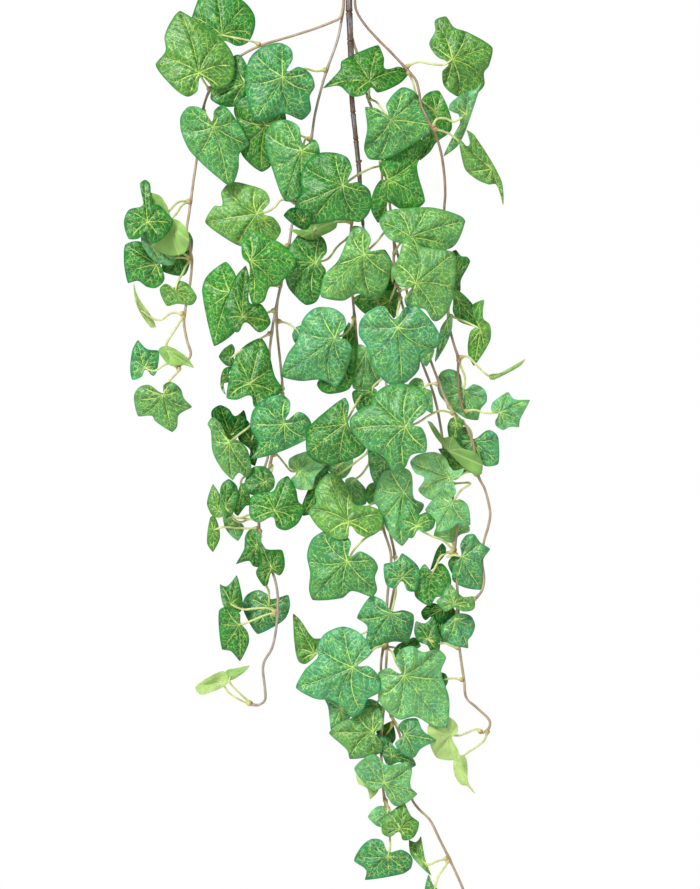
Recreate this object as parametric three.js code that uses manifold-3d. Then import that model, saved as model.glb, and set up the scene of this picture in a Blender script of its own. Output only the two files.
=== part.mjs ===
// Potted ivy in a plain hanging pot: leafy strands run from the soil over the front rim and hang free.
// Millimetres, +Z up, -Y towards the viewer. The origin is the point where the pot's hook hangs.
import * as THREE from "three";
import { mergeVertices } from "three/addons/utils/BufferGeometryUtils.js";
import Module from "manifold-3d";

const wasm = await Module();
wasm.setup();

// Where the plant hangs. Leaves and stems are laid out in a front view: across from its left edge, down
// from the crown, where the strands part, and out towards the viewer from the plumb plane of the strands.
const PLUMB_ACROSS = 350; // reading of the plumb line under the hook
const CROWN_DROP = 329; // from the hanging point down to the crown
const POT_BEHIND = 78; // from the plumb plane of the strands back to the pot's axis

// Pot and soil
const POT_RIM_RADIUS = 65;
const POT_TOP_RADIUS = 62;
const POT_FOOT_RADIUS = 45;
const POT_HEIGHT = 105;
const POT_WALL = 3;
const POT_FLOOR = 4;
const RIM_BAND = 14;
const POT_OVER_CROWN = 28; // from the crown up to the pot's foot
const DRAIN_RADIUS = 6;
const SOIL_BELOW_RIM = 12;
const CLEARANCE = 0.35; // between neighbours that touch
const ROUND_SEGMENTS = 28;

// Hanger
const HOOK_INNER_RADIUS = 10;
const HOOK_ROD_RADIUS = 2.2;
const HOOK_SHANK = 12;
const HUB_RADIUS = 9;
const HUB_HEIGHT = 10;
const SOCKET_DEPTH = 6;
const SOCKET_CIRCLE = 5.2; // radius of the circle that the arms stand on in the hub
const ARM_RADIUS = 1.5;
const ARM_HOLE_RADIUS = 2.3;
const ARM_HOLE_BELOW_RIM = 6;
const ARM_ANGLES = [90, 210, 330];

// Plant
const BLADE_THICKNESS = 1.2;
const BLADE_ARCH = 0.08; // droop of the edge, as a share of its distance from the leaf's base
const HEART_MARGIN = 0.8; // from a leaf's heart to the line of each stretch of its edge
const LEAF_GAP = 2; // least distance from blade to blade, middle to middle, along the line of sight
const LEAFLESS_BEHIND = -26; // strands bear no leaves farther behind the plumb plane than this
const STALK_RADIUS = 1.0;
const STALK_TIP_RADIUS = 0.4;
const STALK_LENGTH = 24; // of a leaf stalk whose route isn't listed
const KNOB_RADIUS = 2.1; // of the thick part by which a stalk starts on its strand
const KNOB_LENGTH = 4;
const STRAND_RADIUS = 1.5;
const STRAND_TOLERANCE = 0.7; // by which a strand's straight pieces may leave its curve
const MAIN_RADIUS = 3.3;
const MAIN_RING_RADIUS = 4.1;
const MAIN_RINGS = [-60, -20, 12, 41, 84, 113, 140, 163]; // heights of the rings, down from the crown

// Stem routes: across, down, out. Every route starts in the soil or on the stem that carries it.
const STRANDS = {
  left_outer: [
    [335, -96, -58], [335, -126, -55], [335.5, -147, -38], [336, -150, -22], [337, -139, -8],
    [338.5, -112, -4], [339, -62, -2], [341.4, -28, 1], [343.3, -4, 2], [343, 8, 3], [340, 18, 4],
    [333, 22, 5], [315, 29, 6], [300, 34, 6], [280, 40, 7], [261, 46, 8], [241, 56, 6], [222, 72, 4],
    [210, 90, 2], [203, 110, 0], [198, 150, 0], [193, 185, 2], [189, 215, 4], [187, 232, 6],
    [191, 253, 6], [192, 265, 5], [190, 285, 4], [186, 306, 2], [184, 322, 2], [187, 340, 4],
    [191, 353, 6], [188, 360, 8], [179, 366, 8],
  ],
  left_inner: [
    [342, -96, -60], [342, -126, -57], [342, -148, -40], [342, -152, -23], [342.3, -140, -9],
    [342.6, -112, -5.5], [343, -62, -5], [343.4, -28, -3.6], [343.7, -4, -2.2], [343.4, 8, -1],
    [342, 18, 0], [337, 42, 4], [327, 70, 6], [321, 90, 7], [315, 115, 7], [311, 140, 5], [303, 170, 3],
    [297, 203, 2], [292, 225, 2], [289, 245, 3], [281, 285, 5], [277, 303, 6], [273, 325, 7],
    [270, 348, 7], [267, 375, 5], [262, 410, 1], [266, 438, 0], [268, 455, 0], [264, 470, 0],
    [260, 495, 0], [259, 520, 0], [260, 545, 2], [267, 562, 6], [273, 573, 9], [277, 588, 11],
    [278, 605, 12], [276, 630, 11], [272, 648, 9], [265, 660, 7], [263, 670, 6], [265, 688, 5],
    [265, 700, 5], [258, 705, 5], [252, 704, 5],
  ],
  centre: [
    [350, -96, -62], [350, -127, -59], [350, -150, -43], [350, -156, -23], [349.7, -143, -6],
    [349.4, -112, -2], [349.2, -60, -1], [349, 0, 0], [350, 30, 0], [351.5, 70, 0], [352, 100, 0],
    [356, 140, 0], [359, 170, 0], [361, 200, -1], [363, 225, -2],
  ],
  centre_branch: [
    [351, 33, 0], [354, 44, -1], [357, 53, -3], [362, 75, -5], [368, 98, -5], [373, 112, -6],
    [380, 145, -8], [388, 190, -9], [394, 243, -9], [394, 262, -9], [399, 290, -9], [408, 325, -8],
    [422, 362, -8], [434, 395, -8], [441, 428, -7], [445, 460, -4], [452, 492, 0], [457, 525, 2],
    [455, 552, 2], [458, 600, 2], [459, 640, 2], [461, 660, 3], [464, 680, 4], [466, 697, 4],
    [475, 706, 4], [487, 717, 4], [490, 723, 4], [488, 729, 4], [482, 733, 4],
  ],
  left_third: [
    [360, 192, -1], [350, 204, -5], [334, 211, -9], [316, 218, -12], [300, 232, -13], [290, 255, -13],
    [281, 283, -12], [277, 305, -10], [277, 330, -9], [281, 370, -8], [282, 387, -9], [279, 420, -10],
    [272, 455, -11], [267, 480, -11], [266, 500, -11], [268, 515, -10],
  ],
  right_mid: [
    [353, 105, 0], [362, 122, -5], [372, 150, -13], [384, 200, -17], [400, 262, -17], [414, 318, -12],
    [427, 352, 2], [431, 362, 8], [437, 378, 14], [448, 405, 18], [460, 420, 18], [467, 428, 17],
    [473, 445, 14], [478, 475, 8], [485, 490, 6], [490, 512, 5], [488, 527, 4], [484, 541, 2],
    [482, 560, 2], [484, 578, 3], [482, 590, 4], [476, 598, 5],
  ],
  middle: [
    [361, 200, -1], [364, 232, -6], [371, 262, -18], [378, 300, -24], [384, 350, -24], [387, 400, -24],
    [388, 450, -24], [387, 500, -22], [389, 527, -20], [395, 556, -18], [395, 582, -18], [391, 606, -18],
    [385, 640, -16], [381, 668, -14], [385, 700, -12], [391, 715, -9], [400, 736, -7], [407, 768, -4],
    [411, 796, 0], [418, 808, 2], [430, 820, 4], [440, 840, 5], [449, 858, 5], [463, 889, 4],
    [469, 912, 3], [471, 930, 2],
  ],
  middle_left: [
    [361, 190, -1], [355, 206, -7], [351, 230, -13], [350, 262, -17], [353, 300, -18], [358, 350, -18],
    [365, 400, -16], [371, 450, -13], [378, 500, -10], [383, 527, -8], [391, 555, -6], [389, 580, -6],
    [387, 606, -6], [387, 645, -4], [386, 668, -3], [384, 705, 0], [381, 745, 2], [383, 787, 4],
    [386, 806, 5],
  ],
  right_outer: [
    [358, -96, -58], [358, -126, -55], [358, -147, -38], [357.6, -150, -22], [357, -139, -8],
    [356.4, -112, -4], [355.8, -62, -1.5], [355.2, -20, 0.5], [355, 2, 2], [357, 12, 3], [365, 25, 5],
    [378, 40, 8], [390, 52, 11], [402, 65, 14], [410, 74, 17], [416, 82, 19], [419, 95, 20],
    [421, 107, 21], [428, 122, 21], [436, 138, 20], [441, 155, 18], [444, 175, 16], [445, 195, 14],
    [444, 212, 10], [445, 245, 2], [447, 280, -2], [449, 322, 0], [454, 345, 4], [458, 358, 6],
    [458, 372, 5], [459, 392, 4], [463, 412, 3],
  ],
};

// Leaves of each strand. A row holds a name, the turn in which the leaf is laid (higher lies nearer the
// viewer, below 0 behind the strands), its base across and down, how much its tip comes forward and its left
// and right halves fall back for each millimetre, its tone, the route of its stalk where that shows, and its
// edge, clockwise from the tip.
const LEAVES = {
  left_outer: [
    ["p1", 1, 318, -112, -0.3, 0.3, 0.15, "mid", [], [292, -80, 286, -94, 275, -103, 284, -115,
      287, -129, 302, -128, 313, -138, 320, -126, 318, -116, 328, -112, 337, -101, 326, -92, 321, -80,
      308, -86]],
    ["a1", 0, 222, 36, -0.3, 0.2, 0.2, "mid", [258, 48, 252, 42], [213, -20, 244, 1, 254, 14, 255, 27,
      249, 42, 238, 47, 225, 42, 212, 48, 199, 43, 190, 31, 192, 16, 203, -12]],
    ["a3", 0, 246, 84, 0.1, 0.3, 0.3, "dark", [], [211, 100, 214, 86, 233, 57, 241, 56, 251, 76,
      251, 86, 247, 96, 236, 107, 222, 107]],
    ["a2", 2, 200, 75, -0.15, 0.2, 0.25, "light", [208, 92, 206, 85], [181, 12, 222, 40, 234, 58,
      233, 81, 217, 91, 202, 79, 198, 93, 187, 98, 170, 85, 156, 66, 166, 52, 165, 37, 174, 18]],
    ["a5", 3, 214, 128, -0.2, 0.25, 0.15, "mid", [204, 112, 208, 118], [228, 186, 192, 154, 182, 134,
      181, 119, 188, 109, 197, 108, 206, 113, 212, 123, 215, 112, 224, 107, 236, 120, 250, 145,
      240, 154, 239, 168, 234, 183]],
    ["u1", 3, 149, 224, -0.2, 0.3, 0.3, "blue", [188, 199, 178, 203, 165, 217], [146, 181, 151, 185,
      153, 204, 161, 207, 174, 222, 169, 234, 154, 245, 148, 233, 140, 240, 130, 240, 125, 224,
      130, 211, 144, 206, 141, 185]],
    ["l2", 2, 172, 220, -0.1, -0.15, -0.2, "under", [188, 199, 183, 205, 177, 214], [153, 247,
      147, 215, 151, 194, 161, 197, 168, 207, 172, 218, 180, 222, 188, 231, 190, 243, 185, 254, 170, 256]],
    ["l3", 1, 157, 265, -0.2, 0.2, 0.25, "mid", [188, 257, 176, 258], [125, 245, 137, 241, 150, 247,
      159, 262, 165, 279, 157, 288, 147, 287, 138, 281, 128, 283, 124, 264]],
    ["l4", -1, 178, 256, 0.1, 0.2, 0.2, "dark", [189, 247, 184, 250], [183, 276, 162, 271, 164, 258,
      175, 250, 182, 235, 189, 232, 193, 241, 189, 267]],
    ["l5", 1, 176, 291, -0.2, 0.25, 0.25, "mid", [188, 258, 187, 265, 182, 275, 177, 284], [197, 297,
      192, 305, 178, 304, 167, 306, 160, 290, 166, 284, 174, 288, 178, 281, 188, 284]],
    ["l6", 1, 147, 315, 0.2, -0.9, 0.9, "rib", [182, 313, 172, 313, 161, 320, 152, 318], [134, 282,
      138, 296, 152, 317, 156, 327, 150, 327, 136, 303]],
    ["l7", 1, 144, 369, -0.2, 0.25, 0.25, "mid", [180, 365, 167, 364, 155, 371], [138, 340, 147, 349,
      159, 351, 158, 367, 154, 376, 146, 370, 142, 377, 132, 379, 132, 352]],
    ["l8", 2, 167, 350, 0.2, -0.6, -0.5, "under", [181, 313, 182, 319, 175, 330, 167, 343], [194, 368,
      183, 365, 171, 366, 162, 357, 159, 349, 168, 346, 187, 357]],
    ["l9", 1, 163, 395, -0.25, 0.2, 0.3, "light", [180, 365, 178, 372, 168, 383], [172, 432, 155, 421,
      152, 416, 138, 416, 134, 396, 140, 387, 150, 385, 163, 393, 164, 385, 172, 382, 181, 389,
      184, 398, 192, 407, 179, 415, 177, 427]],
  ],
  left_inner: [
    ["p2", 1, 312, -48, -0.2, 0.25, 0.25, "light", [], [286, -30, 284, -44, 276, -54, 288, -60,
      296, -70, 308, -66, 313, -54, 322, -50, 324, -38, 316, -28, 304, -22, 296, -28]],
    ["a4", 3, 285, 80, -0.15, 0.25, 0.2, "blue", [325, 69, 316, 72, 305, 70, 295, 74], [256, 122,
      248, 103, 245, 82, 250, 60, 262, 49, 279, 45, 291, 51, 293, 62, 287, 73, 299, 69, 311, 76,
      315, 88, 310, 98, 311, 112, 302, 121, 284, 115, 268, 121]],
    ["a6", 1, 266, 126, -0.3, 0.2, 0.2, "dark", [309, 142, 290, 132], [262, 172, 252, 166, 241, 153,
      240, 130, 234, 110, 242, 99, 256, 100, 270, 112, 285, 114, 286, 128, 271, 166]],
    ["a7", 2, 302, 152, -0.2, 0.25, 0.2, "mid", [310, 142, 306, 139], [286, 202, 279, 190, 265, 138,
      273, 124, 286, 121, 299, 128, 304, 146, 315, 141, 320, 155, 313, 180, 300, 198]],
    ["a9", 2, 257, 214, -0.15, 0.25, 0.2, "light", [292, 202, 282, 200, 275, 207, 267, 212], [205, 222,
      214, 206, 222, 205, 221, 192, 231, 182, 250, 185, 265, 191, 270, 202, 263, 213, 274, 218,
      281, 231, 272, 243, 255, 247, 240, 246, 222, 236]],
    ["a10", 3, 250, 262, -0.2, 0.25, 0.2, "mid", [288, 244, 270, 252], [297, 262, 287, 277, 277, 287,
      270, 288, 264, 302, 253, 305, 249, 290, 250, 266, 243, 258, 243, 243, 252, 232, 268, 237, 284, 246]],
    ["a11", 1, 230, 292, -0.15, 0.2, 0.3, "mid", [280, 288, 250, 288], [214, 346, 202, 292, 207, 276,
      226, 262, 235, 273, 240, 290, 240, 315, 234, 333]],
    ["a12", 2, 243, 318, -0.2, 0.3, 0.2, "mid", [275, 312, 258, 316], [246, 266, 250, 280, 250, 303,
      262, 305, 271, 323, 260, 333, 246, 323, 238, 333, 227, 323, 227, 302, 236, 277]],
    ["d1", 1, 231, 358, -0.1, 0.2, 0.3, "light", [266, 333, 250, 345], [232, 344, 235, 349, 234, 358,
      236, 365, 227, 366, 219, 357, 224, 349]],
    ["d2", 2, 250, 384, -0.25, 0.2, 0.35, "blue", [268, 360, 260, 375], [261, 338, 268, 348, 275, 376,
      283, 390, 268, 403, 255, 407, 251, 396, 237, 400, 227, 398, 230, 376, 236, 356, 246, 345]],
    ["d3", 0, 225, 378, 0.1, -0.8, 0.6, "olive", [265, 380, 240, 372], [226, 395, 221, 388, 221, 376,
      225, 368, 233, 367, 229, 374, 229, 382, 224, 384]],
    ["d5", 1, 231, 435, -0.3, -0.2, -0.3, "deep", [262, 408, 250, 425, 240, 431], [220, 405, 229, 409,
      235, 416, 244, 410, 247, 422, 241, 433, 231, 441, 212, 418, 212, 410]],
    ["d6", 0, 250, 440, -0.1, 0.3, 0.3, "deep", [258, 430, 255, 434], [255, 466, 249, 462, 250, 450,
      238, 438, 247, 420, 254, 430, 260, 445]],
    ["d5b", 2, 230, 442, -0.1, 0.4, 0.3, "olive", [262, 408, 250, 426, 240, 434], [233, 480, 222, 469,
      213, 452, 211, 430, 208, 424, 213, 417, 222, 426, 229, 439, 238, 440, 248, 450, 252, 474,
      246, 477, 239, 473]],
    ["f1", 2, 226, 508, -0.2, 0.3, 0.4, "mid", [258, 516, 250, 515, 237, 518], [229, 479, 237, 486,
      238, 498, 233, 514, 226, 518, 221, 506, 220, 493, 222, 484]],
    ["f2", 1, 219, 511, -0.2, 0.7, 0.4, "olive", [258, 520, 240, 518, 228, 516], [213, 484, 221, 497,
      223, 516, 215, 517, 210, 512, 207, 502]],
    ["f3", 0, 214, 530, -0.2, 0.6, 0.6, "olive", [258, 526, 240, 528, 224, 527], [213, 552, 207, 543,
      210, 518, 214, 515, 218, 523, 220, 538]],
    ["f4", 1, 229, 516, -0.2, 0.6, 0.4, "light", [258, 519, 250, 519, 240, 522], [238, 541, 230, 535,
      224, 525, 224, 509, 231, 511, 234, 518, 244, 527]],
    ["f5", 0, 242, 489, -0.2, 0.3, 0.4, "dark", [257, 470, 246, 476, 241, 482], [238, 516, 234, 512,
      239, 488, 243, 483, 248, 487, 251, 505, 246, 506]],
    ["g1", 2, 257, 546, -0.1, 0.3, 0.3, "mid", [259, 528, 261, 536], [236, 564, 244, 549, 245, 537,
      248, 531, 254, 528, 260, 533, 262, 552, 259, 567, 253, 566, 249, 561]],
    ["g2", 3, 272, 568, -0.2, 0.3, 0.3, "mid", [261, 552, 268, 558], [262, 543, 267, 549, 282, 550,
      285, 565, 280, 575, 272, 572, 268, 584, 264, 586, 256, 573, 260, 563, 259, 551]],
    ["g3", 2, 231, 604, -0.2, 0.3, 0.4, "mid", [277, 611, 268, 608, 255, 608, 243, 609], [237, 575,
      243, 601, 240, 612, 232, 607, 224, 606, 220, 584, 227, 586]],
    ["g4", 1, 239, 624, -0.2, 0.3, 0.4, "mid", [277, 612, 268, 614, 255, 619, 245, 623], [240, 661,
      231, 651, 222, 649, 219, 611, 228, 606, 240, 613, 241, 622, 248, 632, 249, 643]],
    ["g5", -1, 269, 606, -0.1, 0.2, 0.3, "dark", [268, 562, 266, 583, 269, 592], [257, 634, 243, 610,
      245, 597, 257, 590, 267, 594, 271, 599, 288, 595, 290, 606, 285, 619, 270, 629]],
    ["g6", 1, 222, 682, 0.1, -0.9, -0.3, "under", [252, 704, 245, 702, 230, 693], [196, 686, 210, 676,
      225, 671, 228, 683, 203, 694, 197, 691]],
    ["g7", 2, 231, 675, 0.2, 0.9, 0.3, "under", [253, 702, 240, 693, 230, 682], [250, 665, 243, 673,
      229, 680, 226, 671, 236, 668]],
  ],
  left_third: [
    ["d4", 3, 285, 424, -0.2, 0.2, 0.3, "blue", [281, 388, 284, 396, 285, 410], [251, 459, 259, 444,
      251, 428, 253, 411, 264, 400, 281, 395, 290, 401, 290, 412, 287, 420, 299, 412, 309, 418,
      313, 430, 311, 437, 290, 448, 268, 456]],
    ["d7", 1, 266, 482, -0.1, 0.3, 0.3, "dark", [271, 460, 272, 470], [244, 485, 252, 468, 262, 466,
      270, 470, 275, 480, 272, 490, 252, 495]],
    ["d8", 2, 275, 511, -0.25, 0.25, 0.25, "blue", [266, 480, 270, 496], [288, 476, 296, 489, 299, 502,
      305, 506, 299, 522, 287, 530, 277, 527, 273, 517, 260, 522, 250, 516, 251, 497, 262, 492,
      273, 491, 279, 481]],
    ["d9", 2, 299, 471, -0.15, 0.3, 0.25, "light", [273, 452, 277, 455, 284, 463, 291, 471], [325, 466,
      316, 476, 312, 489, 297, 489, 291, 479, 296, 473, 289, 467, 290, 458, 309, 451, 312, 459]],
    ["a17", 0, 302, 337, 0.1, 0.2, 0.2, "blue", [281, 318, 291, 325], [292, 335, 296, 327, 304, 325,
      308, 335, 304, 345, 296, 344]],
  ],
  centre: [
    ["p5", 2, 352, -148, -0.55, 0.2, 0.2, "mid", [], [338, -106, 327, -114, 317, -127, 325, -139,
      329, -152, 342, -157, 351, -152, 362, -158, 375, -149, 372, -135, 379, -122, 364, -117, 353, -110]],
    ["p6", 1, 352, -70, -0.2, 0.25, 0.25, "light", [], [336, -30, 316, -52, 325, -64, 330, -78,
      344, -82, 353, -75, 366, -84, 377, -72, 371, -58, 378, -44, 362, -40, 352, -27]],
    ["b1", 3, 370, 86, -0.5, 0.25, 0.2, "dark", [369, 99, 369, 94], [378, 45, 384, 58, 385, 69,
      400, 67, 409, 73, 400, 84, 378, 94, 371, 89, 365, 96, 352, 98, 339, 87, 323, 89, 340, 70, 342, 61]],
    ["b3", 2, 391, 121, -0.1, 0.25, 0.35, "blue", [370, 98, 377, 103, 384, 113], [436, 128, 400, 153,
      385, 160, 369, 160, 364, 150, 367, 130, 365, 109, 376, 110, 387, 118, 386, 106, 401, 89, 413, 92,
      424, 106]],
    ["b7", 1, 388, 180, -0.2, 0.25, 0.3, "dark", [382, 155, 380, 166], [425, 201, 418, 208, 400, 209,
      387, 203, 385, 213, 378, 223, 371, 210, 373, 193, 380, 181, 385, 180, 380, 172, 380, 164,
      420, 138, 424, 150, 417, 167]],
    ["a8", 4, 343, 187, -0.1, 0.25, 0.3, "blue", [385, 164, 380, 166, 370, 169, 356, 177], [296, 206,
      303, 194, 301, 184, 305, 166, 317, 155, 333, 154, 347, 159, 352, 171, 348, 184, 358, 184,
      370, 193, 370, 212, 360, 223, 345, 221, 308, 225]],
    ["c1", 3, 364, 255, -0.2, 0.25, 0.3, "light", [393, 225, 383, 234, 376, 243], [321, 297, 324, 276,
      338, 261, 353, 227, 364, 229, 371, 240, 369, 251, 383, 251, 391, 263, 388, 285, 377, 301,
      358, 294, 343, 301]],
    ["c2", 1, 410, 238, -0.15, 0.25, 0.2, "light", [395, 250, 400, 244], [465, 222, 452, 248, 420, 249,
      409, 240, 401, 244, 389, 240, 381, 229, 379, 221, 387, 212, 402, 209, 432, 208, 460, 216]],
    ["c3", 4, 413, 283, -0.15, 0.2, 0.3, "light", [401, 292, 406, 289], [454, 254, 453, 296, 446, 314,
      434, 322, 424, 310, 408, 309, 404, 299, 411, 289, 400, 288, 391, 272, 398, 259, 403, 242,
      411, 235, 420, 247]],
    ["c7", 5, 397, 328, -0.15, 0.2, 0.2, "blue", [403, 297, 399, 304, 397, 315], [402, 385, 388, 384,
      374, 369, 366, 347, 359, 336, 360, 322, 370, 311, 384, 307, 394, 320, 405, 308, 418, 308,
      440, 336, 436, 348, 422, 354, 418, 371]],
    ["c9", -1, 390, 300, 0.1, 0.2, 0.2, "deep", [399, 280, 394, 290], [352, 298, 365, 292, 396, 290,
      401, 298, 399, 310, 394, 318, 384, 308, 368, 314, 358, 307]],
    ["c11", -1, 389, 284, 0.1, 0.2, 0.2, "deep", [396, 262, 392, 270], [396, 292, 386, 292, 380, 258,
      376, 250, 386, 249, 397, 276]],
    ["h2", 1, 372, 392, -0.2, 0.3, 0.3, "mid", [384, 372, 378, 382], [352, 393, 362, 388, 376, 389,
      376, 397, 371, 407, 359, 413]],
    ["i7", 6, 452, 503, -0.15, 0.3, 0.3, "light", [477, 474, 470, 483, 460, 491], [436, 532, 435, 520,
      425, 510, 438, 494, 447, 493, 452, 500, 460, 499, 468, 506, 470, 525, 459, 523, 450, 529]],
    ["i8", -1, 452, 537, 0.1, 0.3, 0.3, "dark", [456, 551, 453, 544], [434, 536, 438, 526, 466, 522,
      470, 531, 460, 535, 452, 543]],
    ["i6", 3, 417, 526, -0.15, 0.3, 0.3, "mid", [455, 549, 444, 541, 432, 536, 422, 531], [404, 497,
      413, 503, 418, 514, 427, 512, 435, 518, 433, 528, 424, 532, 418, 530, 412, 538, 404, 534,
      397, 522, 403, 511]],
    ["j3", 2, 432, 573, -0.2, 0.3, 0.5, "dark", [455, 549, 446, 553, 440, 557, 436, 565], [424, 564,
      431, 571, 440, 563, 448, 570, 451, 583, 443, 596, 436, 597, 430, 606, 415, 596, 417, 578]],
    ["j4", 1, 441, 556, -0.2, 0.7, 0.5, "dark", [455, 549, 448, 552], [430, 571, 433, 560, 437, 549,
      442, 543, 446, 548, 444, 556]],
    ["j5", 2, 461, 556, -0.2, 0.25, 0.3, "blue", [456, 551, 447, 557, 454, 555], [482, 589, 466, 588,
      453, 581, 452, 572, 455, 562, 461, 556, 460, 544, 466, 535, 474, 534, 480, 542, 490, 549, 483, 560]],
    ["j6b", 1, 458, 561, -0.1, 0.3, 0.3, "dark", [456, 551, 456, 556], [448, 562, 455, 555, 462, 560,
      462, 568, 454, 576, 450, 570]],
    ["j8", 1, 446, 611, -0.12, 0.3, 0.3, "dark", [458, 600, 452, 606], [421, 612, 427, 605, 435, 603,
      450, 612, 446, 620, 438, 622, 432, 616, 425, 620]],
    ["j9", 2, 455, 618, -0.2, 0.25, 0.3, "blue", [459, 600, 457, 608], [468, 648, 448, 643, 441, 635,
      442, 627, 455, 614, 463, 613, 471, 616, 475, 625, 472, 635, 468, 640]],
    ["j10", 3, 428, 639, -0.15, 0.3, 0.3, "mid", [459, 646, 452, 646, 445, 643, 437, 643], [433, 615,
      440, 641, 438, 656, 431, 652, 427, 645, 418, 641, 414, 632, 416, 621, 425, 623]],
    ["k5", 0, 443, 679, 0.1, 0.2, 0.2, "dark", [464, 680, 454, 678], [441, 672, 446, 674, 448, 681,
      445, 687, 441, 682]],
    ["n1", 1, 451, 734, -0.1, -0.2, -0.25, "under", [484, 731, 476, 729, 460, 735], [436, 757,
      427, 728, 436, 718, 448, 716, 457, 724, 457, 733, 452, 737, 458, 750, 459, 759]],
    ["n2", 1, 459, 759, 0.2, 0.6, 0.5, "under", [485, 731, 484, 740, 475, 747, 463, 755], [475, 793,
      466, 785, 461, 784, 455, 776, 453, 765, 455, 757, 464, 755, 467, 763, 468, 781]],
  ],
  right_mid: [
    ["g0", 6, 429, 355, -0.1, 0.3, 0.3, "light", [424, 340, 427, 347], [426, 367, 421, 362, 420, 355,
      425, 351, 434, 350, 432, 358]],
    ["h1", 6, 405, 427, -0.15, 0.2, 0.25, "blue", [450, 411, 440, 411, 428, 416, 417, 423], [351, 430,
      350, 419, 362, 408, 371, 405, 373, 396, 386, 386, 402, 384, 419, 389, 427, 401, 425, 412,
      412, 424, 421, 428, 426, 440, 425, 452, 411, 455, 404, 468, 392, 471, 383, 456, 367, 449]],
    ["h4", 3, 423, 388, -0.1, 0.3, 0.3, "blue", [436, 382, 430, 384], [433, 414, 427, 411, 407, 390,
      409, 383, 415, 378, 422, 380, 425, 388, 431, 391]],
    ["i1", 0, 456, 423, -0.1, 0.5, 0.5, "olive", [450, 408, 454, 416], [451, 446, 447, 428, 450, 419,
      456, 417, 463, 421, 461, 431]],
    ["i2", 4, 471, 470, 0.2, 0.6, -0.4, "lit", [478, 474, 475, 474], [427, 421, 432, 423, 441, 437,
      452, 437, 462, 448, 474, 452, 482, 462, 481, 474, 475, 475, 462, 466, 436, 438]],
    ["i3", -1, 472, 441, -0.1, 0.25, 0.25, "mid", [463, 420, 470, 430], [498, 464, 485, 466, 475, 455,
      462, 452, 455, 445, 458, 430, 465, 427, 472, 439, 488, 430, 497, 435, 499, 446]],
    ["i2b", 2, 462, 468, 0.1, 0.3, 0.3, "deep", [477, 474, 470, 471], [438, 449, 446, 449, 462, 464,
      468, 471, 456, 473, 444, 458]],
    ["i4", 4, 449, 477, -0.15, 0.3, 0.25, "blue", [477, 474, 470, 472, 462, 474, 455, 479], [410, 462,
      417, 455, 434, 452, 445, 457, 452, 470, 464, 468, 460, 476, 453, 480, 456, 492, 448, 500,
      428, 499, 418, 490, 424, 478, 415, 473]],
    ["j7", 4, 454, 604, -0.15, 0.3, 0.3, "light", [477, 596, 472, 600, 462, 606], [449, 582, 462, 596,
      473, 596, 474, 608, 463, 611, 454, 607, 445, 611, 436, 601, 442, 595]],
  ],
  middle: [
    ["c8", 0, 366, 352, -0.1, 0.4, 0.4, "mid", [380, 335, 374, 343], [362, 390, 353, 388, 352, 370,
      358, 345, 366, 347, 380, 372, 378, 385]],
    ["i5", 2, 409, 484, -0.15, 0.25, 0.2, "blue", [389, 466, 398, 474], [402, 546, 391, 536, 383, 522,
      380, 510, 374, 502, 376, 487, 384, 471, 409, 470, 414, 498, 424, 505, 415, 520, 410, 536]],
    ["i5b", 1, 378, 487, -0.1, 0.3, 0.3, "dark", [388, 470, 384, 478], [367, 502, 366, 489, 371, 483,
      380, 484, 380, 500, 372, 505]],
    ["i9", 1, 385, 462, -0.1, 0.3, 0.3, "mid", [388, 440, 387, 452], [368, 449, 384, 457, 391, 471,
      385, 482, 375, 484, 370, 472]],
    ["j2", 2, 402, 578, -0.2, 0.3, 0.3, "blue", [394, 560, 397, 570], [402, 553, 419, 568, 416, 590,
      407, 590, 402, 581, 395, 588, 386, 584, 384, 564, 396, 561]],
    ["j6", 2, 391, 613, -0.2, 0.25, 0.25, "blue", [394, 580, 396, 592, 394, 602], [370, 650, 366, 640,
      367, 626, 357, 618, 364, 604, 372, 596, 384, 601, 392, 611, 404, 610, 414, 616, 408, 642, 392, 642]],
    ["k2", 4, 404, 674, -0.15, 0.25, 0.2, "blue", [384, 645, 392, 652, 396, 662], [447, 727, 432, 725,
      415, 716, 400, 719, 388, 712, 378, 698, 380, 685, 378, 672, 389, 667, 401, 672, 395, 660,
      400, 649, 412, 645, 422, 651, 438, 649, 446, 657, 441, 671, 449, 698]],
    ["k4", 1, 402, 652, 0.1, 0.3, 0.3, "dark", [384, 644, 394, 648], [393, 652, 398, 645, 407, 641,
      415, 638, 421, 647, 396, 658]],
    ["ll2", 3, 404, 733, -0.2, 0.25, 0.25, "mid", [391, 715, 397, 724], [436, 740, 421, 748, 414, 757,
      402, 753, 395, 743, 402, 735, 398, 726, 404, 719, 417, 718, 423, 730]],
    ["ll3", 1, 392, 756, 0.1, 0.3, 0.3, "blue", [403, 748, 399, 753], [376, 734, 388, 738, 396, 748,
      412, 757, 416, 765, 410, 768, 400, 762, 388, 765, 382, 755, 374, 748]],
    ["ll5", -1, 386, 735, 0.1, 0.2, 0.2, "deep", [394, 724, 390, 730], [376, 733, 383, 726, 392, 722,
      396, 738, 392, 745, 384, 741]],
    ["m3", 1, 423, 861, -0.3, 0.6, 0.6, "olive", [450, 859, 443, 859, 436, 861, 429, 864], [421, 836,
      425, 858, 431, 875, 411, 855, 409, 840, 416, 842]],
    ["m4", 1, 434, 890, -0.2, 0.6, 0.4, "mid", [450, 860, 445, 866, 438, 876], [428, 875, 433, 884,
      441, 893, 438, 906, 430, 916, 424, 905]],
    ["m5", 1, 459, 936, -0.2, 0.3, 0.3, "mid", [468, 913, 462, 922], [450, 962, 438, 938, 446, 930,
      456, 928, 468, 934, 472, 946]],
  ],
  middle_left: [
    ["a14", 1, 316, 263, -0.1, 0.25, 0.25, "dark", [352, 234, 345, 240, 337, 247, 328, 259], [284, 262,
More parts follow.
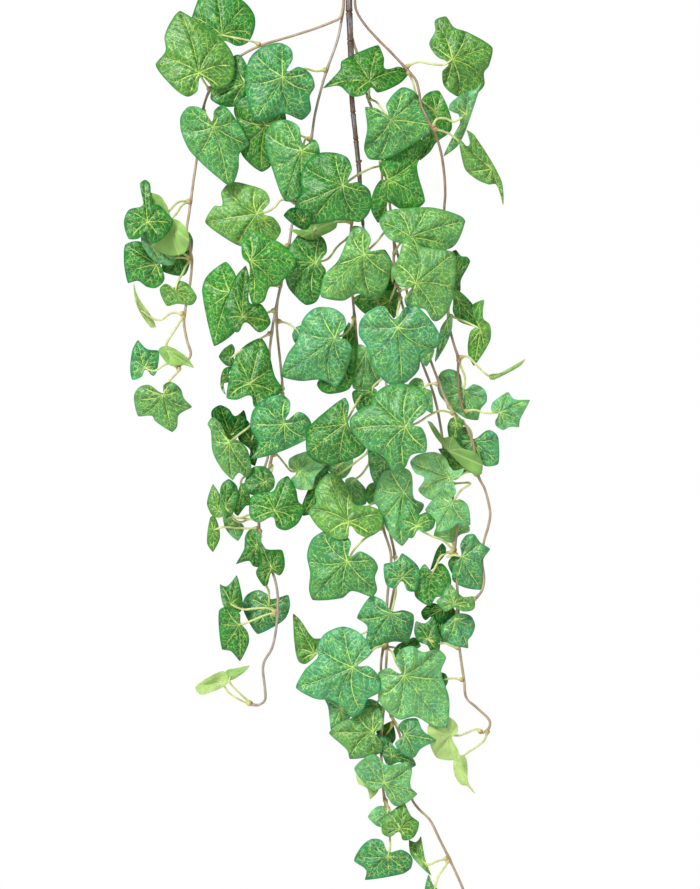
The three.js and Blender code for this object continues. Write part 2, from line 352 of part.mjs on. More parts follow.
      289, 248, 299, 235, 314, 234, 324, 239, 327, 252, 321, 262, 326, 271, 321, 292, 316, 302,
      306, 305, 297, 298, 287, 285]],
    ["a18", 5, 303, 222, -0.1, 0.3, 0.3, "dark", [318, 214, 311, 218], [284, 217, 290, 210, 297, 209,
      312, 215, 312, 224, 307, 231, 298, 229]],
    ["a19", 2, 313, 230, 0.2, -0.8, -0.6, "under", [330, 216, 322, 224], [288, 229, 300, 230, 315, 222,
      337, 222, 336, 228, 322, 236, 309, 240]],
    ["a15", 3, 335, 338, -0.15, 0.2, 0.3, "blue", [354, 318, 350, 328, 343, 335], [281, 376, 287, 355,
      297, 340, 303, 319, 315, 308, 332, 308, 344, 316, 346, 327, 339, 337, 347, 340, 352, 350,
      346, 372, 336, 388, 322, 380, 300, 381]],
    ["a16", 1, 346, 346, 0.1, 0.2, 0.3, "dark", [354, 322, 350, 334], [330, 394, 321, 391, 317, 383,
      340, 345, 344, 330, 349, 322, 355, 330, 357, 350, 354, 375, 349, 389]],
    ["d10", 3, 346, 424, -0.1, 0.3, 0.45, "mid", [362, 388, 356, 404], [308, 455, 306, 440, 308, 428,
      335, 404, 345, 398, 349, 405, 348, 417, 350, 428, 366, 449, 336, 464, 322, 463]],
    ["d11", 1, 336, 468, -0.1, 0.3, 0.3, "blue", [368, 440, 352, 455], [353, 459, 352, 468, 346, 477,
      340, 479, 332, 474, 325, 466]],
    ["d13", 1, 318, 466, -0.1, 0.3, 0.3, "dark", [368, 440, 340, 458], [304, 456, 320, 460, 329, 466,
      322, 476, 311, 478]],
    ["d12", 0, 319, 484, -0.1, 0.4, 0.3, "olive", [370, 448, 345, 470], [303, 516, 301, 508, 313, 480,
      324, 468, 330, 475, 325, 495, 315, 512]],
    ["i11", 1, 351, 482, -0.1, 0.3, 0.3, "deep", [372, 462, 362, 474], [366, 504, 352, 505, 345, 481,
      353, 477, 360, 482, 366, 490]],
    ["e1", 5, 349, 522, -0.2, 0.2, 0.25, "light", [377, 498, 366, 508], [328, 473, 340, 477, 351, 493,
      354, 504, 370, 506, 381, 512, 382, 528, 368, 537, 357, 533, 350, 526, 348, 537, 336, 539,
      318, 527, 308, 511, 316, 503, 315, 490]],
    ["j1", 3, 348, 561, -0.15, 0.2, 0.25, "mid", [382, 527, 372, 534, 362, 541, 354, 550], [313, 600,
      309, 590, 310, 573, 307, 555, 312, 539, 325, 531, 342, 533, 351, 542, 349, 556, 360, 551,
      373, 558, 378, 567, 375, 577, 377, 590, 372, 597, 352, 591, 342, 598]],
    ["k1", 4, 353, 666, -0.15, 0.2, 0.2, "blue", [386, 645, 375, 648, 367, 656], [296, 687, 305, 669,
      318, 656, 317, 646, 325, 633, 342, 626, 358, 631, 369, 643, 369, 655, 358, 664, 369, 665,
      379, 676, 379, 690, 368, 698, 362, 711, 352, 717, 342, 706, 333, 700, 315, 698]],
    ["k3", 1, 315, 654, -0.2, 0.3, 0.4, "olive", [386, 625, 350, 640, 330, 650], [293, 614, 300, 620,
      313, 638, 321, 639, 320, 650, 306, 664, 298, 661, 294, 640]],
    ["k6", 1, 341, 708, -0.1, 0.4, 0.3, "olive", [385, 690, 362, 700], [331, 730, 328, 707, 325, 700,
      338, 700, 346, 708, 350, 718]],
    ["k7", 0, 376, 704, -0.1, 0.3, 0.3, "blue", [385, 690, 381, 697], [362, 706, 368, 699, 378, 702,
      385, 712, 376, 712, 366, 710]],
    ["ll1", 3, 373, 731, -0.15, 0.25, 0.2, "light", [384, 705, 380, 718], [329, 733, 340, 722,
      356, 716, 365, 708, 378, 707, 383, 716, 381, 728, 375, 732, 382, 742, 380, 753, 350, 759, 347, 750]],
    ["ll4", 4, 384, 782, -0.15, 0.25, 0.25, "light", [383, 760, 383, 770], [417, 793, 405, 803,
      395, 805, 387, 796, 383, 787, 372, 789, 354, 767, 373, 753, 387, 764, 408, 761, 412, 769, 410, 785]],
    ["ll6", 1, 367, 783, 0.1, 0.3, 0.3, "lit", [384, 776, 376, 780], [370, 799, 367, 788, 358, 783,
      356, 771, 364, 774, 379, 787]],
    ["m0", 1, 387, 814, -0.1, 0.3, 0.3, "light", [386, 800, 388, 807], [368, 817, 372, 810, 378, 806,
      385, 806, 390, 811, 382, 827]],
    ["m1", 2, 400, 828, -0.15, 0.3, 0.3, "mid", [386, 803, 392, 812, 397, 820], [404, 802, 411, 815,
      419, 822, 414, 836, 403, 839, 399, 831, 390, 836, 382, 832, 384, 818]],
    ["m2", 1, 388, 855, -0.2, 0.25, 0.25, "blue", [386, 806, 389, 826, 390, 846], [365, 880, 366, 870,
      354, 861, 361, 847, 371, 839, 382, 840, 388, 851, 402, 849, 412, 857, 411, 868, 402, 874]],
  ],
  right_outer: [
    ["p3", 1, 392, -104, -0.2, 0.25, 0.25, "blue", [], [424, -78, 409, -73, 398, -64, 390, -77,
      379, -82, 378, -95, 385, -105, 392, -109, 392, -121, 404, -131, 414, -120, 427, -119, 421, -104,
      431, -92]],
    ["p4", 1, 388, -38, -0.2, 0.25, 0.25, "mid", [], [410, -18, 398, -14, 378, -22, 376, -34, 384, -42,
      386, -50, 396, -56, 406, -48, 416, -46, 412, -34, 414, -24]],
    ["b2", 1, 452, 61, -0.15, 0.2, 0.25, "mid", [408, 66, 418, 63, 430, 65, 443, 66], [492, 48,
      489, 66, 484, 73, 484, 86, 472, 97, 457, 97, 444, 87, 442, 73, 448, 65, 437, 58, 429, 45,
      435, 32, 435, 21, 446, 17, 454, 28, 468, 33]],
    ["b4", -1, 427, 108, -0.1, 0.2, 0.25, "dark", [408, 72, 413, 84, 418, 98], [452, 128, 436, 143,
      430, 152, 420, 160, 417, 150, 428, 125, 422, 112, 422, 99, 430, 92, 440, 92]],
    ["b5", 1, 462, 119, -0.2, 0.9, -0.6, "olive", [437, 127, 436, 121, 445, 120, 454, 123], [443, 157,
      459, 127, 457, 114, 449, 112, 449, 106, 460, 97, 476, 90, 481, 84, 466, 130, 457, 147]],
    ["b6", 1, 464, 147, -0.2, 0.5, 0.8, "olive", [438, 128, 446, 134, 456, 140], [503, 205, 496, 185,
      488, 185, 475, 179, 464, 168, 458, 138, 468, 147, 466, 131, 474, 136, 501, 180]],
    ["c4", 1, 456, 274, 0.1, 0.2, 0.3, "dark", [446, 255, 450, 262], [470, 262, 461, 280, 460, 292,
      453, 297, 450, 275, 452, 252, 456, 250, 461, 256, 467, 257]],
    ["c5", 1, 457, 298, -0.1, 0.3, 0.3, "dark", [449, 280, 453, 290], [483, 328, 460, 322, 453, 312,
      453, 300, 450, 290, 458, 290, 474, 306]],
    ["c6", 1, 479, 330, -0.1, 0.4, 0.6, "olive", [453, 315, 466, 322], [474, 366, 468, 353, 470, 332,
      478, 324, 472, 306, 484, 300, 483, 318, 490, 325, 490, 341]],
    ["c12", 0, 447, 322, -0.1, 0.6, 0.4, "olive", [449, 290, 449, 305], [435, 362, 440, 330, 444, 322,
      452, 314, 452, 328, 446, 345]],
    ["c10", 1, 493, 377, 0.2, -0.9, 0.9, "rib", [459, 357, 468, 357, 478, 367, 487, 375], [525, 359,
      520, 366, 498, 378, 491, 380, 489, 375, 500, 373]],
    ["h5", -1, 464, 391, -0.1, 0.2, 0.2, "blue", [459, 358, 461, 367, 465, 378], [478, 420, 463, 417,
      441, 397, 437, 382, 441, 372, 450, 369, 460, 374, 464, 389, 474, 384, 485, 390, 487, 401, 481, 409]],
    ["h6", 1, 500, 413, -0.2, 0.3, 0.3, "light", [463, 411, 474, 410, 486, 413], [530, 400, 520, 420,
      519, 427, 510, 427, 503, 430, 496, 426, 495, 421, 498, 414, 492, 412, 491, 406, 494, 401,
      508, 392, 514, 399]],
  ],
};

// Which strands and leaves each solid of the plant holds, and its radius of stem.
const SPRAYS = {
  left_outer_spray: { strands: ["left_outer"], leaves: ["left_outer"] },
  left_inner_spray: { strands: ["left_inner"], leaves: ["left_inner"] },
  right_outer_spray: { strands: ["right_outer"], leaves: ["right_outer"] },
  main_spray: {
    strands: ["centre", "centre_branch", "left_third", "right_mid", "middle", "middle_left"],
    leaves: ["centre", "left_third", "right_mid", "middle", "middle_left"],
  },
};

// Place of a front-view reading in the part's own frame.
const place = (across, down, out) =>
  new THREE.Vector3(across - PLUMB_ACROSS, -(out + POT_BEHIND), -(down + CROWN_DROP));

// The point at share t of the way from the second to the third of four points (Catmull-Rom).
function between([before, from, to, after], t) {
  const blend = (a, b, c, d) => {
    const bend = (2 * a - 5 * b + 4 * c - d) * t + (3 * b - 3 * c + d - a) * t * t;
    return b + 0.5 * t * (c - a + bend);
  };
  const at = (axis) => blend(before[axis], from[axis], to[axis], after[axis]);
  return new THREE.Vector3(at("x"), at("y"), at("z"));
}

// A smooth curve through the points, sampled about every `step` millimetres.
function smooth(points, step) {
  const p = [points[0].clone().multiplyScalar(2).sub(points[1]), ...points];
  p.push(points.at(-1).clone().multiplyScalar(2).sub(points.at(-2)));
  const out = [];
  for (let k = 1; k < p.length - 2; k++) {
    const count = Math.max(1, Math.round(p[k].distanceTo(p[k + 1]) / step));
    for (let i = 0; i < count; i++) {
      out.push(between(p.slice(k - 1, k + 3), i / count));
    }
  }
  out.push(points.at(-1).clone());
  return out;
}

// The points of a line that its shape needs: the others lie within `tolerance` of the chords.
function thinned(points, tolerance) {
  const kept = [points[0]];
  let from = 0;
  const chord = new THREE.Line3();
  const nearest = new THREE.Vector3();
  for (let to = 2; to < points.length; to++) {
    chord.set(points[from], points[to]);
    const off = (p) => chord.closestPointToPoint(p, true, nearest).distanceTo(p);
    if (points.slice(from + 1, to).some((p) => off(p) > tolerance)) {
      from = to - 1;
      kept.push(points[from]);
    }
  }
  kept.push(points.at(-1));
  return kept;
}

// Closed geometry from points and index triples.
function closed(points, triangles) {
  const geometry = new THREE.BufferGeometry();
  const numbers = points.flatMap((p) => [p.x, p.y, p.z]);
  geometry.setAttribute("position", new THREE.Float32BufferAttribute(numbers, 3));
  geometry.setIndex(triangles);
  return geometry;
}

// A rod with flat ends along the points; `radius` is one number or one for each point.
function rod(points, radius, sides) {
  const rings = [];
  let side = new THREE.Vector3(1, 0, 0);
  points.forEach((p, i) => {
    const [before, after] = [points[Math.max(i - 1, 0)], points[Math.min(i + 1, points.length - 1)]];
    const along = after.clone().sub(before).normalize();
    if (i === 0 && Math.abs(along.x) > 0.9) side.set(0, 1, 0);
    side = side.sub(along.clone().multiplyScalar(side.dot(along))).normalize();
    const other = along.clone().cross(side);
    const r = Array.isArray(radius) ? radius[i] : radius;
    for (let k = 0; k < sides; k++) {
      const a = (2 * Math.PI * k) / sides;
      rings.push(p.clone().addScaledVector(side, r * Math.cos(a)).addScaledVector(other, r * Math.sin(a)));
    }
  });
  const faces = [];
  for (let i = 0; i < points.length - 1; i++) {
    for (let k = 0; k < sides; k++) {
      const a = i * sides + k;
      const b = i * sides + ((k + 1) % sides);
      faces.push(a, b, b + sides, a, b + sides, a + sides);
    }
  }
  const last = (points.length - 1) * sides;
  for (let k = 1; k < sides - 1; k++) {
    faces.push(0, k + 1, k, last, last + k, last + k + 1);
  }
  return closed(rings, faces);
}

// Solid of a geometry, and a geometry of a solid.
function solid(geometry) {
  const bare = geometry.clone();
  bare.deleteAttribute("normal");
  bare.deleteAttribute("uv");
  const merged = mergeVertices(bare, 1e-4);
  return new wasm.Manifold(new wasm.Mesh({
    numProp: 3,
    vertProperties: new Float32Array(merged.attributes.position.array),
    triVerts: new Uint32Array(merged.index.array),
  }));
}

function fromSolid(body) {
  const mesh = body.getMesh();
  const geometry = new THREE.BufferGeometry();
  geometry.setAttribute("position", new THREE.BufferAttribute(mesh.vertProperties, 3));
  geometry.setIndex(new THREE.BufferAttribute(mesh.triVerts, 1));
  geometry.computeVertexNormals();
  return geometry;
}

// All solids of a list joined, pair by pair.
function joined(list) {
  let left = list;
  while (left.length > 1) {
    const next = [];
    for (let i = 0; i + 1 < left.length; i += 2) next.push(left[i].add(left[i + 1]));
    if (left.length % 2) next.push(left.at(-1));
    left = next;
  }
  return left[0];
}

// The point nearest a leaf's base, relative to it, from which the whole edge is seen.
function heartOf(edge) {
  let [x, y] = [0, 0];
  for (let round = 0; round < 200; round++) {
    edge.forEach(([ax, ay], k) => {
      const [bx, by] = edge[(k + 1) % edge.length];
      const length = Math.hypot(bx - ax, by - ay);
      const inside = ((ax - x) * (by - y) - (ay - y) * (bx - x)) / length;
      if (inside < HEART_MARGIN) {
        x -= ((by - ay) / length) * (HEART_MARGIN - inside);
        y += ((bx - ax) / length) * (HEART_MARGIN - inside);
      }
    });
  }
  return [x, y];
}

// A leaf row as an object. Its points are front-view readings with the depth relative to the leaf's base:
// first the heart, round which the blade is a fan of flat triangles, then the edge.
function readLeaf(row, strand) {
  const [name, turn, across, down, lean, foldLeft, foldRight, tone, stalk, flat] = row;
  const edge = [];
  for (let i = 0; i < flat.length; i += 2) edge.push([flat[i] - across, flat[i + 1] - down]);
  const length = Math.hypot(...edge[0]);
  const [mx, my] = [edge[0][0] / length, edge[0][1] / length];
  const points = [heartOf(edge), ...edge].map(([x, y]) => {
    const along = x * mx + y * my;
    const right = -x * my + y * mx;
    const fall = right > 0 ? foldRight * right : -foldLeft * right;
    return [across + x, down + y, lean * along - fall - BLADE_ARCH * Math.hypot(x, y)];
  });
  const fan = edge.map((_, k) => [points[0], points[1 + k], points[1 + ((k + 1) % edge.length)]]);
  const lines = [...fan.map(([a, b]) => [a, b]), ...fan.map(([, b, c]) => [b, c])];
  const [xs, ys] = [points.map((p) => p[0]), points.map((p) => p[1])];
  const box = [Math.min(...xs), Math.max(...xs), Math.min(...ys), Math.max(...ys)];
  return { name, turn, across, down, tone, stalk, points, fan, lines, box, strand, out: 0 };
}

// Depth of the blade at a front-view point, relative to the leaf's base, or null off the blade.
function bladeDepth(leaf, x, y) {
  if (x < leaf.box[0] || x > leaf.box[1] || y < leaf.box[2] || y > leaf.box[3]) return null;
  for (const [[hx, hy, hz], [ax, ay, az], [bx, by, bz]] of leaf.fan) {
    const area = (ax - hx) * (by - hy) - (ay - hy) * (bx - hx);
    const u = ((x - hx) * (by - hy) - (y - hy) * (bx - hx)) / area;
    const v = ((ax - hx) * (y - hy) - (ay - hy) * (x - hx)) / area;
    if (u >= 0 && v >= 0 && u + v <= 1) return hz + u * (az - hz) + v * (bz - hz);
  }
  return null;
}

// How much the second leaf's blade lies nearer the viewer than the first's, as both are read: the values at
// the corners of each and where their edges and folds cross. Between these it is linear.
function depthsBetween(first, second) {
  const found = [];
  for (const [x, y, z] of first.points) {
    const other = bladeDepth(second, x, y);
    if (other !== null) found.push(other - z);
  }
  for (const [x, y, z] of second.points) {
    const other = bladeDepth(first, x, y);
    if (other !== null) found.push(z - other);
  }
  for (const [a, b] of first.lines) {
    for (const [c, d] of second.lines) {
      const [ux, uy, vx, vy] = [b[0] - a[0], b[1] - a[1], d[0] - c[0], d[1] - c[1]];
      const area = ux * vy - uy * vx;
      if (Math.abs(area) < 1e-9) continue;
      const s = ((c[0] - a[0]) * vy - (c[1] - a[1]) * vx) / area;
      const t = ((c[0] - a[0]) * uy - (c[1] - a[1]) * ux) / area;
      if (s < 0 || s > 1 || t < 0 || t > 1) continue;
      found.push(c[2] + t * (d[2] - c[2]) - a[2] - s * (b[2] - a[2]));
    }
  }
  return found;
}

// Centre lines of the strands as front-view points with their depth.
const readStrand = ([name, route]) => [name, smooth(route.map((p) => new THREE.Vector3(...p)), 8)];
const stemLines = Object.fromEntries(Object.entries(STRANDS).map(readStrand));

// The point of a strand from which a leaf's stalk starts: the nearest to the stalk's first point, or, where
// no route is listed, one about STALK_LENGTH away up the strand.
function stalkStart(leaf) {
  const line = stemLines[leaf.strand].filter((p) => p.z > LEAFLESS_BEHIND);
  const lines = leaf.strand === "centre" ? [...line, ...stemLines.centre_branch] : line;
  const cost = (p) => {
    if (leaf.stalk.length) return Math.hypot(p.x - leaf.stalk[0], p.y - leaf.stalk[1]);
    const reach = Math.hypot(p.x - leaf.across, p.y - leaf.down);
    return Math.abs(reach - STALK_LENGTH) + 0.3 * Math.max(0, p.y - leaf.down);
  };
  return lines.reduce((best, p) => (cost(p) < cost(best) ? p : best));
}

// Lays the leaves over each other: those behind the strands first, from front to back, then the others from
// back to front. Each moves along the line of sight until it clears the strands and the leaves laid before.
function layLeaves(leaves) {
  const behind = leaves.filter((l) => l.turn < 0);
  const before = leaves.filter((l) => l.turn >= 0).sort((a, b) => a.turn - b.turn);
  const laid = [];
  const room = BLADE_THICKNESS / 2 + MAIN_RADIUS * 0.3;
  for (const leaf of [...behind, ...before]) {
    const sign = leaf.turn < 0 ? -1 : 1;
    let out = stalkStart(leaf).z + sign * 5;
    const farther = (value) => (out = sign > 0 ? Math.max(out, value) : Math.min(out, value));
    for (const [name, line] of Object.entries(stemLines)) {
      const radius = name === "centre" ? MAIN_RING_RADIUS : STRAND_RADIUS;
      for (const p of line) {
        const depth = bladeDepth(leaf, p.x, p.y);
        if (depth !== null) farther(p.z + sign * (radius + room) - depth);
      }
    }
    const near = laid.filter((o) => o.box[0] < leaf.box[1] && o.box[1] > leaf.box[0]
      && o.box[2] < leaf.box[3] && o.box[3] > leaf.box[2]);
    for (const other of near) {
      for (const between of depthsBetween(other, leaf)) farther(other.out - between + sign * LEAF_GAP);
    }
    leaf.out = out;
    laid.push(leaf);
  }
}

// The blade: two fans of triangles, front and back, joined along the edge.
function bladeGeometry(leaf) {
  const points = [];
  for (const side of [0.5, -0.5]) {
    const shift = leaf.out + side * BLADE_THICKNESS;
    for (const [x, y, z] of leaf.points) points.push(place(x, y, shift + z));
  }
  const count = leaf.points.length - 1;
  const back = count + 1;
  const faces = [];
  for (let k = 0; k < count; k++) {
    const a = 1 + k;
    const b = 1 + ((k + 1) % count);
    faces.push(0, b, a, back, back + a, back + b, a, b, back + b, a, back + b, back + a);
  }
  return closed(points, faces);
}

// The leaf's stalk: a slim rod from inside its strand, over a knob there, to the heart of the blade.
function stalkGeometry(leaf) {
  const start = stalkStart(leaf);
  const readings = [[start.x, start.y]];
  for (let i = leaf.stalk.length > 2 ? 2 : 0; i < leaf.stalk.length; i += 2) {
    readings.push(leaf.stalk.slice(i, i + 2));
  }
  if (!leaf.stalk.length) readings.push([(start.x + leaf.across) / 2, (start.y + leaf.down) / 2 - 4]);
  const [heartAcross, heartDown, heartOut] = leaf.points[0];
  readings.push([heartAcross, heartDown]);
  const lengths = [0];
  for (let i = 1; i < readings.length; i++) {
    const [[x0, y0], [x1, y1]] = [readings[i - 1], readings[i]];
    lengths.push(lengths[i - 1] + Math.hypot(x1 - x0, y1 - y0));
  }
  const rise = (leaf.out + heartOut - start.z) / lengths.at(-1);
  const points = readings.map(([x, y], i) => place(x, y, start.z + rise * lengths[i]));
  const neck = points[0].clone().add(points[1].clone().sub(points[0]).setLength(KNOB_LENGTH));
  points.splice(1, 0, neck);
  const radii = points.map(() => STALK_RADIUS);
  radii[0] = STALK_TIP_RADIUS;
  radii[1] = KNOB_RADIUS;
  radii[radii.length - 1] = STALK_TIP_RADIUS;
  return rod(points, radii, 3);
}

// Radius of the main stem at each point: rings stand out of it.
function mainRadii(line) {
  return line.map((p) => {
    const down = -p.z - CROWN_DROP;
    const nearest = Math.min(...MAIN_RINGS.map((ring) => Math.abs(down - ring)));
    return nearest < 1.5 ? MAIN_RING_RADIUS : MAIN_RADIUS;
  });
}

// The main stem's centre line, with points close on both sides of each ring.
function mainLine() {
  const line = thinned(smooth(STRANDS.centre.map((p) => place(...p)), 6), 0.5);
  const result = [];
  for (let i = 0; i < line.length; i++) {
    result.push(line[i]);
    if (i + 1 === line.length) break;
    const [from, to] = [-line[i].z - CROWN_DROP, -line[i + 1].z - CROWN_DROP];
    if (to <= from) continue;
    for (const ring of MAIN_RINGS) {
      for (const height of [ring - 2.4, ring, ring + 2.4]) {
        if (height > from + 0.3 && height < to - 0.3) {
          result.push(line[i].clone().lerp(line[i + 1], (height - from) / (to - from)));
        }
      }
    }
  }
  return result;
}

// A strand's centre line in the part's frame.
function strandLine(name) {
  if (name === "centre") return mainLine();
  return thinned(smooth(STRANDS[name].map((p) => place(...p)), 6), STRAND_TOLERANCE);
}

function strandGeometry(name) {
  if (name === "centre") {
    const line = strandLine(name);
    return rod(line, mainRadii(line), 6);
  }
  return rod(strandLine(name), STRAND_RADIUS, 4);
}

// One spray: its strands with all their leaves, stalks and knobs as one solid.
function sprayGeometry(spray, leaves) {
  const bodies = spray.strands.map((name) => solid(strandGeometry(name)));
  for (const leaf of leaves) {
    bodies.push(solid(bladeGeometry(leaf)).add(solid(stalkGeometry(leaf))));
  }
  return fromSolid(joined(bodies));
}

// Heights in the part's frame
const rimTop = POT_OVER_CROWN + POT_HEIGHT - CROWN_DROP;
const footLevel = POT_OVER_CROWN - CROWN_DROP;
const soilTop = rimTop - SOIL_BELOW_RIM;

// The pot's outer radius at a height, without the rim band.
const taper = (POT_TOP_RADIUS - POT_FOOT_RADIUS) / POT_HEIGHT;
const potRadius = (z) => POT_FOOT_RADIUS + taper * (z - footLevel);

// A solid turned about the pot's axis from [radius, height] points, listed so that its faces point out.
function turned(profile) {
  const points = profile.map(([r, z]) => new THREE.Vector2(r, z));
  return new THREE.LatheGeometry(points, ROUND_SEGMENTS).rotateX(Math.PI / 2);
}

// The pot: tapered wall, floor with a drain hole, a band round the rim and three holes for the arms.
function potGeometry() {
  const inner = (z) => potRadius(z) - POT_WALL;
  const profile = [
    [DRAIN_RADIUS, footLevel], [POT_FOOT_RADIUS - 3, footLevel], [POT_FOOT_RADIUS, footLevel + 3],
    [potRadius(rimTop - RIM_BAND), rimTop - RIM_BAND], [POT_RIM_RADIUS, rimTop - RIM_BAND + 1.5],
    [POT_RIM_RADIUS, rimTop - 1.5], [POT_RIM_RADIUS - 1.5, rimTop], [inner(rimTop) + 1, rimTop],
    [inner(rimTop), rimTop - 1], [inner(footLevel + POT_FLOOR), footLevel + POT_FLOOR],
    [DRAIN_RADIUS, footLevel + POT_FLOOR], [DRAIN_RADIUS, footLevel],
  ];
  let pot = solid(turned(profile));
  for (const angle of ARM_ANGLES) {
    const drill = new THREE.CylinderGeometry(ARM_HOLE_RADIUS, ARM_HOLE_RADIUS, 20, 8);
    drill.rotateZ(Math.PI / 2).translate(POT_RIM_RADIUS, 0, rimTop - ARM_HOLE_BELOW_RIM);
    pot = pot.subtract(solid(drill.rotateZ((angle * Math.PI) / 180)));
  }
  return fromSolid(pot);
}

// The soil fills the pot, its top a low uneven mound, with a plain hole round each stem.
function soilGeometry() {
  const inner = (z) => potRadius(z) - POT_WALL - CLEARANCE;
  const floor = footLevel + POT_FLOOR + CLEARANCE;
  let soil = solid(turned([
    [0, floor], [inner(floor), floor], [inner(soilTop), soilTop], [inner(soilTop) * 0.7, soilTop + 2.5],
    [inner(soilTop) * 0.35, soilTop + 3], [0, soilTop + 3.5],
  ]));
  for (const name of ["left_outer", "left_inner", "centre", "right_outer"]) {
    const stem = name === "centre" ? MAIN_RADIUS : STRAND_RADIUS;
    const radius = (stem + CLEARANCE) / Math.cos(Math.PI / 8);
    const route = strandLine(name).slice(0, 6);
    const below = route[0].clone().add(new THREE.Vector3(0, 0, -1));
    soil = soil.subtract(solid(rod([below, ...route], radius, 8)));
  }
  return fromSolid(soil);
}

// The hook with the hub under it, bored for the three arms.
function hookGeometry() {
  const radius = HOOK_INNER_RADIUS + HOOK_ROD_RADIUS;
  const centre = new THREE.Vector3(0, 0, -HOOK_INNER_RADIUS);
  const route = [];
  for (let degrees = 200; degrees >= -90; degrees -= 29) {
    const a = (degrees * Math.PI) / 180;
    route.push(centre.clone().add(new THREE.Vector3(radius * Math.cos(a), 0, radius * Math.sin(a))));
  }
  const hubTop = centre.z - radius - HOOK_SHANK;
  route.push(new THREE.Vector3(0, 0, centre.z - radius - 4), new THREE.Vector3(0, 0, hubTop - 2));
  const hub = turned([
    [0, hubTop - HUB_HEIGHT], [HUB_RADIUS - 1, hubTop - HUB_HEIGHT], [HUB_RADIUS, hubTop - HUB_HEIGHT + 1],
    [HUB_RADIUS, hubTop - 3], [HUB_RADIUS - 3, hubTop], [0, hubTop],
  ]);
  let body = solid(hub).add(solid(rod(route, HOOK_ROD_RADIUS, 8)));
  const boreRadius = ARM_RADIUS + CLEARANCE;
  for (const angle of ARM_ANGLES) {
    const bore = new THREE.CylinderGeometry(boreRadius, boreRadius, 2 * SOCKET_DEPTH, 8);
    bore.rotateX(Math.PI / 2).translate(SOCKET_CIRCLE, 0, hubTop - HUB_HEIGHT);
    body = body.subtract(solid(bore.rotateZ((angle * Math.PI) / 180)));
  }
  return fromSolid(body);
}

// One arm: from its socket in the hub down outside the rim and in through its hole, where it turns up.
function armGeometry(angle) {
  const hubFoot = -2 * HOOK_INNER_RADIUS - HOOK_ROD_RADIUS - HOOK_SHANK - HUB_HEIGHT;
  const hole = rimTop - ARM_HOLE_BELOW_RIM;
  const outside = POT_RIM_RADIUS + ARM_RADIUS + 2;
  const inside = potRadius(hole) - POT_WALL - ARM_RADIUS - 2.5;
  const route = [
    [SOCKET_CIRCLE, hubFoot + SOCKET_DEPTH - CLEARANCE], [SOCKET_CIRCLE, hubFoot - 4],
    [SOCKET_CIRCLE + 3, hubFoot - 12], [outside - 3, hole + 16], [outside, hole + 8],
    [outside - 0.6, hole + 2.6], [outside - 2.6, hole],
    [inside + 1.5, hole], [inside, hole + 1.2], [inside, hole + 5],
  ];
  const a = (angle * Math.PI) / 180;
  const points = route.map(([r, z]) => new THREE.Vector3(r * Math.cos(a), r * Math.sin(a), z));
  return rod(points, ARM_RADIUS, 6);
}

const FINISH = {
  leaf: new THREE.MeshStandardMaterial({ color: 0x3f8f46, roughness: 0.55, metalness: 0 }),
  pot: new THREE.MeshStandardMaterial({ color: 0xe9e6df, roughness: 0.45, metalness: 0 }),
  soil: new THREE.MeshStandardMaterial({ color: 0x3b2a1f, roughness: 0.95, metalness: 0 }),
  wire: new THREE.MeshStandardMaterial({ color: 0xb9bcc0, roughness: 0.35, metalness: 0.9 }),
};

const group = new THREE.Group();

function addMesh(name, geometry, finish) {
  const mesh = new THREE.Mesh(geometry, finish.clone());
  mesh.name = name;
  group.add(mesh);
}

const readLeaves = ([strand, rows]) => rows.map((row) => readLeaf(row, strand));
const allLeaves = Object.entries(LEAVES).flatMap(readLeaves);
layLeaves(allLeaves);

addMesh("pot", potGeometry(), FINISH.pot);
addMesh("soil", soilGeometry(), FINISH.soil);
addMesh("hanger_hook", hookGeometry(), FINISH.wire);
ARM_ANGLES.forEach((angle, i) => addMesh(`hanger_arm_${i + 1}`, armGeometry(angle), FINISH.wire));
for (const [name, spray] of Object.entries(SPRAYS)) {
  const leaves = allLeaves.filter((leaf) => spray.leaves.includes(leaf.strand));
  addMesh(name, sprayGeometry(spray, leaves), FINISH.leaf);
}

export default group;
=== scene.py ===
"""Potted ivy: artificial ivy strands that hang over the front rim of a plain hanging pot.

Metres, +Z up, -Y towards the viewer. The origin is the point where the pot's hook hangs.
"""

import logging
import math
from collections.abc import Callable, Sequence
from dataclasses import dataclass, field
from enum import Enum
from functools import partial

import bmesh
import bpy
import numpy as np
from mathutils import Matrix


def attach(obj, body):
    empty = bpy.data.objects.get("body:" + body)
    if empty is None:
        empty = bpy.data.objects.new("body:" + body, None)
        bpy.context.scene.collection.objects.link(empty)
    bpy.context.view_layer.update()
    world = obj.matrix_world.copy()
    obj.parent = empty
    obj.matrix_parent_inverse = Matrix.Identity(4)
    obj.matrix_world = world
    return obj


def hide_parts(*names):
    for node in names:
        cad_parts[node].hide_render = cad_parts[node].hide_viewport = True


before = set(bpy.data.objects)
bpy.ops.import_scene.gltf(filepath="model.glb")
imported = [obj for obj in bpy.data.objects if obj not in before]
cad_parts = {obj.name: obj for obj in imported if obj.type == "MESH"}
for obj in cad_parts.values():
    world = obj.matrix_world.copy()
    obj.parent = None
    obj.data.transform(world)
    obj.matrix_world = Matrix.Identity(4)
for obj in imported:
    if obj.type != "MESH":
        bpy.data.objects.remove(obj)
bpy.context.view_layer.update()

log = logging.getLogger("potted_ivy")

Pair = tuple[float, float]

MM = 0.001
PHOTO_SIZE = (700, 889)  # the front view, one millimetre for each of its pixels

# Places shared with the solids, in millimetres
PLUMB_ACROSS = 350  # reading of the plumb line under the hook
CROWN_DROP = 329  # from the hanging point down to the crown, where the strands part
POT_BEHIND = 78  # from the plumb plane of the strands back to the pot's axis
STRAND_RADIUS = 1.5
MAIN_RING_RADIUS = 4.1
MAIN_RINGS = (-60, -20, 12, 41, 84, 113, 140, 163)  # down, the rings of the main stem

